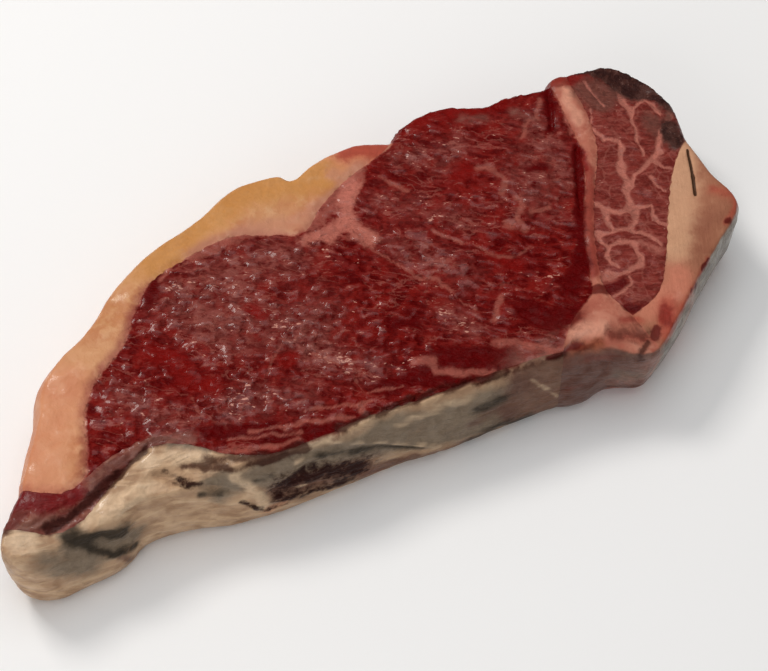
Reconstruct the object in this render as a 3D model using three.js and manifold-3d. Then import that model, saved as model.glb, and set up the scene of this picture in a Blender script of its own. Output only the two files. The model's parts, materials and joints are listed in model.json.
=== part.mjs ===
// A raw dry-aged club steak lying on its lower cut face: a fat cap along the back, the red eye muscle, a
// fat seam, a marbled chine muscle with a dried crust, the chine bone on the right, and the rib with its
// membrane along the front, which ends on the left in a round knob. Millimetres, +Z up. X runs along the
// steak from the rib end to the chine bone, Y from the rib side to the fat side, and the lower cut face
// lies on Z = 0.

import * as THREE from "three";
import { mergeVertices } from "three/addons/utils/BufferGeometryUtils.js";
import Module from "manifold-3d";

const wasm = await Module();
wasm.setup();

// Driving dimensions
const THICKNESS = 28;
const CUT_GAP = 0.3; // between two tissues, so that neighbouring solids never overlap
const SIDE_BULGE = 1.1; // how far the sides stand out at half height
const KNOB_BULGE = 1.6; // the same at the round end of the rib
const TOP_ROUNDING = 1.3; // how far the edge of the upper cut face is drawn in
const FOOT_ROUNDING = 1.8; // the same at the lower cut face
const TOP_SHARES = [0.86, 1.04]; // the shares of the height between which that edge turns over
const FOOT_SHARES = [-0.08, 0.16];
const KNOB_ENDS = [-112, -84]; // along X, from the tip of the rib to where its sides are flat again
const RAGGED = 0.35; // unevenness of the sides
const RAGGED_WAVES = { x: 4.3, y: 3.7, twist: 5 }; // its pitch along X and Y, and its turn up the side
const RING_SHARES = [0, 0.07, 0.17, 0.34, 0.52, 0.7, 0.85, 0.94, 1]; // heights of the rings of a side
const STEPS_PER_SPAN = 4; // along the outline, between two of its points
const STEPS_PER_CUT = 4; // along a boundary between tissues
const RELIEF_CELL = 3.3; // grid of the upper cut face
const ROOM = 6; // how far cutters reach past the meat

// The outline of the upper cut face, in stretches that follow one another clockwise. Each point is
// [x, y, flare]: flare is how far the lower cut face stands out past the upper one, and is negative
// where the side is undercut.
const FAT_EDGE = [
  [-111.5, 7, 0], [-106, 12, 1], [-91.5, 29, 3], [-86, 37.2, 3], [-78, 42, 3],
  [-70, 44.2, 2.5], [-57, 51.8, 3], [-42, 58.4, 3], [-22, 61.6, 3], [-7, 65.2, 3],
  [4.2, 62.2, 2], [6, 58.7, 1], [15, 60.2, 2], [28, 59.6, 2], [37, 55.4, 1],
];
const LEAN_EDGE = [
  [43, 58, 2], [52, 58.6, 2], [60, 56, 2], [68, 51.6, 2], [76, 50.4, 1.5],
  [87.5, 46.8, 1], [90, 48.4, 1],
];
const CRUST_EDGE = [
  [101, 46.2, 0], [108, 44, 0.5], [112.5, 37.5, 1], [115, 22, 2], [110.6, 8, 1],
];
const CHINE_EDGE = [
  [110, -4, 0], [109.4, -17.3, -2], [94, -26.3, -2.5], [74, -37.8, -2.6],
  [65, -42.6, -3.6], [59, -43.4, -3.8], [50, -37.3, -3],
];
const MEMBRANE_EDGE = [
  [44, -34.5, 0.6], [32, -31.3, 1], [16, -28, 1.5], [0, -25, 2],
  [-16, -21.5, 1.6], [-32, -19.8, 1.3], [-45, -17, 2], [-56, -13, 3],
];
const RIB_EDGE = [
  [-66, -9.6, 2], [-82, -6.6, 1.2], [-90, -7, 3.6], [-100, -6.3, 4],
  [-109, -6, 3], [-116.2, -4, -1], [-118, -0.4, -3], [-115.8, 3.8, -2],
];
const OUTLINE = [
  ...FAT_EDGE, ...LEAN_EDGE, ...CRUST_EDGE, ...CHINE_EDGE, ...MEMBRANE_EDGE, ...RIB_EDGE,
];

// Places where one boundary between tissues meets another
const FAT_MEETS_FLANK = [-91, 5.2];
const FLANK_MEETS_RIB = [-61, -1.5];
const SEAM_FOOT = [38, -31];
const CHINE_FOOT = [61, -31.5];

// The boundaries between tissues, seen from above. They run straight through the steak, and an end that
// meets no other boundary lies outside the outline.
const BOUNDARIES = {
  fatLine: [
    [-110, 15.5], [-104, 10], [-97, 5], FAT_MEETS_FLANK, [-86, 11], [-81, 22], [-73, 30],
    [-62, 35.5], [-54, 43], [-45, 49.5], [-32, 51.5], [-18, 50.5], [-8, 45], [0, 41],
    [7, 45.5], [20, 50], [33, 52.5], [38, 55], [42, 62],
  ],
  flankLine: [FAT_MEETS_FLANK, [-84, 7.2], [-75, 7.8], [-67, 5.5], FLANK_MEETS_RIB],
  ribLine: [
    [-121, 8], [-112, 2.5], [-105, -2.5], [-97, -3.8], [-89, -1], [-80, 3], [-71, 4.6],
    FLANK_MEETS_RIB, [-55, -8], [-46, -14.2], [-32, -17.2], [-16, -18.9], [0, -22.4],
    [16, -25.4], [32, -28.6], SEAM_FOOT,
  ],
  seamLeft: [
    [87, 53], [88, 44], [85.5, 34], [82.5, 22.5], [76, 11], [67, 0], [60.5, -12], [55.5, -20],
    [46.5, -23.8], SEAM_FOOT, [33, -39],
  ],
  seamRight: [
    [97, 53], [94, 44.5], [91.5, 32], [86.5, 20], [79, 10.5], [70, -1], [63.5, -12], [59.5, -22],
    CHINE_FOOT, [61.5, -38], [63, -50],
  ],
  boneLine: [
    [117, 11], [108, 7.5], [99, 0.5], [88, -12], [80, -21.5], [71.5, -29.5], CHINE_FOOT,
  ],
};

// Wide swells and dips of the upper cut face: centre, reach along and across, turn in degrees, and lift
// above its mean level, which is negative in a dip
const FORMS = [
  { name: "left lobe", at: [-30, 22], reach: [46, 22], turn: 8, lift: 1.3 },
  { name: "right lobe", at: [50, 22], reach: [28, 26], turn: -35, lift: 1.1 },
  { name: "lobe seam", at: [17, 16], reach: [26, 5], turn: -68, lift: -0.9 },
  { name: "fat notch", at: [0, 48], reach: [16, 8], turn: 0, lift: -0.7 },
  { name: "fat end", at: [-95, 17], reach: [16, 10], turn: 50, lift: 0.7 },
  { name: "rib top", at: [-96, -8], reach: [24, 5], turn: 0, lift: -3.2 },
  { name: "rib shoulder", at: [-68, -9], reach: [10, 6], turn: -20, lift: -2.2 },
  { name: "rib crevice", at: [-97, -2], reach: [15, 2.6], turn: 2, lift: -1.6 },
  { name: "fat lump", at: [50, -29], reach: [8, 5], turn: -10, lift: 1.1 },
  { name: "chine corner", at: [60, -42], reach: [9, 6], turn: 0, lift: -2.4 },
  { name: "crust", at: [110, 34], reach: [7, 14], turn: 15, lift: -2.2 },
  { name: "chine edge", at: [92, -31], reach: [34, 5], turn: 31, lift: -1.2 },
];
// Low waves that cross the whole cut face: wave length, heading in degrees, height and phase
const RIPPLES = [
  { length: 31, heading: 20, height: 0.28, phase: 0.6 },
  { length: 19, heading: 105, height: 0.22, phase: 2.1 },
  { length: 13, heading: 62, height: 0.16, phase: 4.0 },
];

// What each tissue is called, a place inside it and its look
const TISSUES = [
  { name: "fat_cap", inside: [-20, 56], colour: 0xcf9a5c, roughness: 0.42 },
  { name: "eye_muscle", inside: [-25, 20], colour: 0x741f1c, roughness: 0.32 },
  { name: "flank_strip", inside: [-103, 4], colour: 0x5e1c1a, roughness: 0.4 },
  { name: "seam_fat", inside: [52, -30], colour: 0xc98a6c, roughness: 0.4 },
  { name: "chine_muscle", inside: [98, 24], colour: 0x8a3a32, roughness: 0.38 },
  { name: "chine_bone", inside: [98, -14], colour: 0xcda27a, roughness: 0.5 },
  { name: "rib_bone", inside: [-90, -5], colour: 0xb3a287, roughness: 0.4 },
];

// A closed solid from a geometry, with its shared corners merged.
function solid(geometry) {
  geometry.deleteAttribute("normal");
  geometry.deleteAttribute("uv");
  const merged = mergeVertices(geometry, 1e-4);
  return new wasm.Manifold(
    new wasm.Mesh({
      numProp: 3,
      vertProperties: merged.attributes.position.array,
      triVerts: new Uint32Array(merged.index.array),
    }),
  );
}

// The triangles of a closed solid.
function geometryOf(manifold) {
  const mesh = manifold.getMesh();
  const geometry = new THREE.BufferGeometry()
    .setAttribute("position", new THREE.BufferAttribute(mesh.vertProperties, 3))
    .setIndex(new THREE.BufferAttribute(mesh.triVerts, 1));
  geometry.computeVertexNormals();
  return geometry;
}

// A smooth curve through points of two or three numbers, sampled so that it passes through each of them.
function smoothPoints(points, closed, stepsPerSpan) {
  const knots = points.map(([x, y, w = 0]) => new THREE.Vector3(x, y, w));
  const curve = new THREE.CatmullRomCurve3(knots, closed, "centripetal");
  const spans = closed ? points.length : points.length - 1;
  const samples = curve.getPoints(spans * stepsPerSpan);
  return closed ? samples.slice(0, -1) : samples;
}

// The unit normal at each sample of a curve, to the left of its direction in the XY plane.
function leftNormals(samples, closed) {
  const last = samples.length - 1;
  return samples.map((_, i) => {
    const before = samples[i === 0 ? (closed ? last : 0) : i - 1];
    const after = samples[i === last ? (closed ? 0 : last) : i + 1];
    return new THREE.Vector2(before.y - after.y, after.x - before.x).normalize();
  });
}

// 0 below low, 1 above high, and a smooth rise between them
const rise = (value, [low, high]) => THREE.MathUtils.smoothstep(value, low, high);

// How far a side stands out from the outline at a share of the height, 0 at the foot and 1 at the top.
function standOut(point, share) {
  const bulge = THREE.MathUtils.lerp(KNOB_BULGE, SIDE_BULGE, rise(point.x, KNOB_ENDS));
  const turn = RAGGED_WAVES.twist * share;
  const wave =
    Math.sin(point.x / RAGGED_WAVES.x + turn) * Math.cos(point.y / RAGGED_WAVES.y - turn);
  return (
    point.z * (1 - share) +
    bulge * 4 * share * (1 - share) +
    RAGGED * wave -
    FOOT_ROUNDING * (1 - rise(share, FOOT_SHARES)) -
    TOP_ROUNDING * rise(share, TOP_SHARES)
  );
}

// The sides as a closed tube of rings, flat on Z = 0 and reaching past the upper cut face.
function sides() {
  const samples = smoothPoints(OUTLINE, true, STEPS_PER_SPAN);
  const outward = leftNormals(samples, true);
  const levels = RING_SHARES.map((share) => ({ share, z: share * THICKNESS }));
  levels.push({ share: 1, z: THICKNESS + ROOM });
  const positions = levels.flatMap(({ share, z }) =>
    samples.flatMap((point, i) => {
      const out = standOut(point, share);
      return [point.x + outward[i].x * out, point.y + outward[i].y * out, z];
    }),
  );
  const count = samples.length;
  const faces = [];
  for (let level = 0; level + 1 < levels.length; level++) {
    for (let i = 0; i < count; i++) {
      const a = level * count + i;
      const b = level * count + ((i + 1) % count);
      faces.push(a, a + count, b, b, a + count, b + count);
    }
  }
  const capOf = (level) => {
    const ring = samples.map((_, i) => {
      const at = 3 * (level * count + i);
      return new THREE.Vector2(positions[at], positions[at + 1]);
    });
    return THREE.ShapeUtils.triangulateShape(ring, []);
  };
  const top = (levels.length - 1) * count;
  capOf(0).forEach(([a, b, c]) => faces.push(a, c, b));
  capOf(levels.length - 1).forEach(([a, b, c]) => faces.push(top + a, top + b, top + c));
  const geometry = new THREE.BufferGeometry();
  geometry.setAttribute("position", new THREE.Float32BufferAttribute(positions, 3));
  geometry.setIndex(faces);
  return solid(geometry);
}

// Height of the upper cut face above the table.
function cutFaceHeight(x, y) {
  let height = THICKNESS;
  for (const { at, reach, turn, lift } of FORMS) {
    const place = new THREE.Vector2(x - at[0], y - at[1]);
    place.rotateAround(new THREE.Vector2(), -THREE.MathUtils.degToRad(turn));
    height += lift * Math.exp(-((place.x / reach[0]) ** 2) - (place.y / reach[1]) ** 2);
  }
  for (const { length, heading, height: swing, phase } of RIPPLES) {
    const angle = THREE.MathUtils.degToRad(heading);
    const along = x * Math.cos(angle) + y * Math.sin(angle);
    height += swing * Math.sin((2 * Math.PI * along) / length + phase);
  }
  return height;
}

// A slab whose upper side is the uneven cut face. It reaches past the outline and below the table.
function cutFaceSlab() {
  const box = new THREE.Box3().setFromPoints(OUTLINE.map(([x, y]) => new THREE.Vector3(x, y, 0)));
  const size = box.getSize(new THREE.Vector3()).addScalar(2 * ROOM);
  const middle = box.getCenter(new THREE.Vector3());
  const across = Math.round(size.x / RELIEF_CELL);
  const deep = Math.round(size.y / RELIEF_CELL);
  const geometry = new THREE.BoxGeometry(size.x, size.y, THICKNESS, across, deep, 1);
  geometry.translate(middle.x, middle.y, 0);
  const position = geometry.attributes.position;
  for (let i = 0; i < position.count; i++) {
    const upper = position.getZ(i) > 0;
    position.setZ(i, upper ? cutFaceHeight(position.getX(i), position.getY(i)) : -ROOM);
  }
  return solid(geometry);
}

// A thin upright blade along a boundary. What it removes is the gap between two tissues.
function blade(points) {
  const samples = smoothPoints(points, false, STEPS_PER_CUT);
  const normals = leftNormals(samples, false);
  const edge = (side) =>
    samples.map((point, i) =>
      new THREE.Vector2(point.x, point.y).addScaledVector(normals[i], (side * CUT_GAP) / 2),
    );
  const shape = new THREE.Shape([...edge(-1), ...edge(1).reverse()]);
  const geometry = new THREE.ExtrudeGeometry(shape, {
    depth: THICKNESS + 2 * ROOM,
    bevelEnabled: false,
  });
  geometry.translate(0, 0, -ROOM);
  return solid(geometry);
}

// The piece of the cut steak that holds a place.
function pieceAt(pieces, [x, y]) {
  const pin = new THREE.BoxGeometry(1, 1, 1).translate(x, y, THICKNESS / 2);
  const probe = solid(pin);
  return pieces.find((piece) => piece.intersect(probe).volume() > 0);
}

// The whole steak, one mesh for each tissue.
function clubSteak() {
  const whole = sides().intersect(cutFaceSlab());
  const blades = Object.values(BOUNDARIES).map(blade);
  const pieces = blades.reduce((meat, knife) => meat.subtract(knife), whole).decompose();
  const steak = new THREE.Group();
  for (const { name, inside, colour, roughness } of TISSUES) {
    const material = new THREE.MeshStandardMaterial({ color: colour, roughness, metalness: 0 });
    const mesh = new THREE.Mesh(geometryOf(pieceAt(pieces, inside)), material);
    mesh.name = name;
    steak.add(mesh);
  }
  const box = new THREE.Box3().setFromObject(steak);
  const centre = box.getCenter(new THREE.Vector3());
  steak.position.set(-centre.x, -centre.y, 0);
  return steak;
}

export default clubSteak();
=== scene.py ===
"""Dresses a raw dry-aged club steak: one skin with real relief, its tissues and their finishes."""

import json
import logging
import math
from collections.abc import Sequence
from dataclasses import dataclass, field, fields
from enum import Enum

import bmesh
import bpy
import numpy as np
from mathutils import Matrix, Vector


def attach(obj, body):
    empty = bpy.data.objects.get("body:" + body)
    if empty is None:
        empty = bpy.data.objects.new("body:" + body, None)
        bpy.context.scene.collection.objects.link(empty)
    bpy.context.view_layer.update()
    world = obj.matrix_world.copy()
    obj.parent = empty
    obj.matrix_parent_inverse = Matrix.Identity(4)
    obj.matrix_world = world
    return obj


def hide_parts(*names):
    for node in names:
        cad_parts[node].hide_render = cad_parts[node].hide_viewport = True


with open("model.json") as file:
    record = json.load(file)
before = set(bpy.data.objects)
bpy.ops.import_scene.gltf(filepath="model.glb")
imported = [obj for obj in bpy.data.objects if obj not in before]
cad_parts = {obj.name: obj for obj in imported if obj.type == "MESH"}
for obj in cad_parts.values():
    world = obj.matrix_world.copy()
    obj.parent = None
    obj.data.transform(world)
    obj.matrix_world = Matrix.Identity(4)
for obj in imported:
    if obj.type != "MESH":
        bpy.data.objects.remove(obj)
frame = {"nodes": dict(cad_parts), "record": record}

log = logging.getLogger("club_steak")

MM = 0.001
BODY = "root"
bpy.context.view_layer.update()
KEPT_MASKS = ("bead", "strand")

# Points closer than this are one point.
SAME_POINT = 1e-3 * MM
# A course has faded out at this many times its width.
FADED = 2.5
# How far one step of the seed moves the relief's patterns, in millimetres.
SEED_SHIFT = (37, 11)
# Depths are written as masks up to this many millimetres from a border.
FARTHEST_DEPTH = 8
# Edges sharper than this stay sharp.
SHARP_ANGLE = math.radians(70)
# The roughness of the wet film over every finish.
COAT_ROUGHNESS = 0.14

Colour = tuple[float, float, float, float]


class Tissue(Enum):
    """The tissues of the steak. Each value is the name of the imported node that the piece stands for."""

    FAT_CAP = "fat_cap"
    EYE = "eye_muscle"
    FLANK = "flank_strip"
    SEAM = "seam_fat"
    CHINE_MEAT = "chine_muscle"
    CHINE_BONE = "chine_bone"
    RIB = "rib_bone"


class Tone(Enum):
    """What lies over a tissue in patches and lines. Each value names the mask that the pieces carry. Some
    tones are painted light: the sheen and the glints are painted reflections, and the pale marks are in part
    painted highlights. The gap and the slit are painted shade, and so are the dark blood lines along
    creases.
    """

    GOLD = "gold"
    SALMON = "salmon"
    DUSK = "dusk"
    ROSE = "rose"
    # Dark blood red patches, and dark lines along creases and gaps that are painted shade.
    BLOOD = "blood"
    BRIGHT = "bright"
    # Painted sheen: a mauve reflection over the lean.
    SHEEN = "sheen"
    # Painted glints: small spots of reflected light.
    GLINT = "glint"
    FAT_LINE = "fat_line"
    CRUST = "crust"
    # The bone's slit, painted dark as shade.
    SLIT = "slit"
    # Painted shade in crevices and gaps between parts.
    GAP = "gap"
    # Pale tissue, and painted highlights on ridges of the rib and on the seam's lump.
    PALE = "pale"
    GREY = "grey"
    SLATE = "slate"
    BROWN = "brown"
    MAUVE = "mauve"


def linear(red: int, green: int, blue: int) -> Colour:
    """Turns a colour as a screen shows it, 0 to 255, into the linear colour that a shader takes."""
    shares = (channel / 255 for channel in (red, green, blue))
    return (*(s / 12.92 if s <= 0.04045 else ((s + 0.055) / 1.055) ** 2.4 for s in shares), 1.0)


def smooth(values: np.ndarray, low: float, high: float) -> np.ndarray:
    """Rises smoothly from 0 at low to 1 at high."""
    share = np.clip((values - low) / (high - low), 0, 1)
    return share * share * (3 - 2 * share)


def distance_to_line(places: np.ndarray, line: np.ndarray) -> np.ndarray:
    """Measures how far places are from a line.

    Args:
        places: One row for each place.
        line: The line's points in order, one row each; a single point is allowed.

    Returns:
        The distance of each place to the nearest point of the line.
    """
    if len(line) == 1:
        return np.linalg.norm(places - line[0], axis=1)
    nearest = np.full(len(places), np.inf, dtype=np.float32)
    for start, end in zip(line[:-1], line[1:]):
        along = end - start
        share = np.clip((places - start) @ along / max(along @ along, 1e-12), 0, 1)
        gap = places - start - share[:, None] * along
        nearest = np.minimum(nearest, np.einsum("ij,ij->i", gap, gap))
    return np.sqrt(nearest)


def spaced(line: np.ndarray, step: float) -> np.ndarray:
    """Gives points along a line that are about one step apart, three or more.

    Args:
        line: The line's points seen from above, one row each.
        step: The spacing.

    Returns:
        The new points, from end to end.
    """
    length = np.concatenate(([0], np.cumsum(np.linalg.norm(np.diff(line, axis=0), axis=1))))
    even = np.linspace(0, length[-1], max(3, int(length[-1] / step)))
    return np.stack([np.interp(even, length, line[:, axis]) for axis in (0, 1)], axis=1)


def headings(line: np.ndarray) -> np.ndarray:
    """The way that a line runs at each of its points."""
    ahead = np.gradient(line, axis=0)
    return ahead / np.linalg.norm(ahead, axis=1, keepdims=True)


@dataclass(frozen=True)
class Course:
    """A soft line or spot, in millimetres, which fades outwards.

    Args:
        points: Its course. Points of two numbers are seen from above and run down through the steak.
            Points of three numbers lie in space.
        width: How far it reaches to each side.
        strength: What it counts for on its course. For a crease this is the depth in millimetres, which is
            negative for a ridge.
    """

    points: tuple[tuple[float, ...], ...]
    width: float
    strength: float

    def over(self, places: np.ndarray) -> np.ndarray:
        """Works out what the course counts for.

        Args:
            places: Places in millimetres, one row each.

        Returns:
            A number for each place, from the strength on the course to 0.
        """
        course = np.array(self.points, dtype=np.float32)
        seen = places[:, : course.shape[1]]
        reach = FADED * self.width
        near = ((seen > course.min(axis=0) - reach) & (seen < course.max(axis=0) + reach)).all(axis=1)
        weight = np.zeros(len(places), dtype=np.float32)
        weight[near] = np.exp(-((distance_to_line(seen[near], course) / self.width) ** 2))
        return self.strength * weight


def courses(*rows: Sequence[float | Sequence[tuple[float, ...]]]) -> tuple[Course, ...]:
    """Makes the courses of a table.

    Args:
        rows: For each row a width, a strength, and then the points of one course or more.

    Returns:
        One course for each list of points.
    """
    return tuple(
        Course(tuple(points), width, strength)
        for width, strength, *lines in rows
        for points in lines
    )


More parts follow.
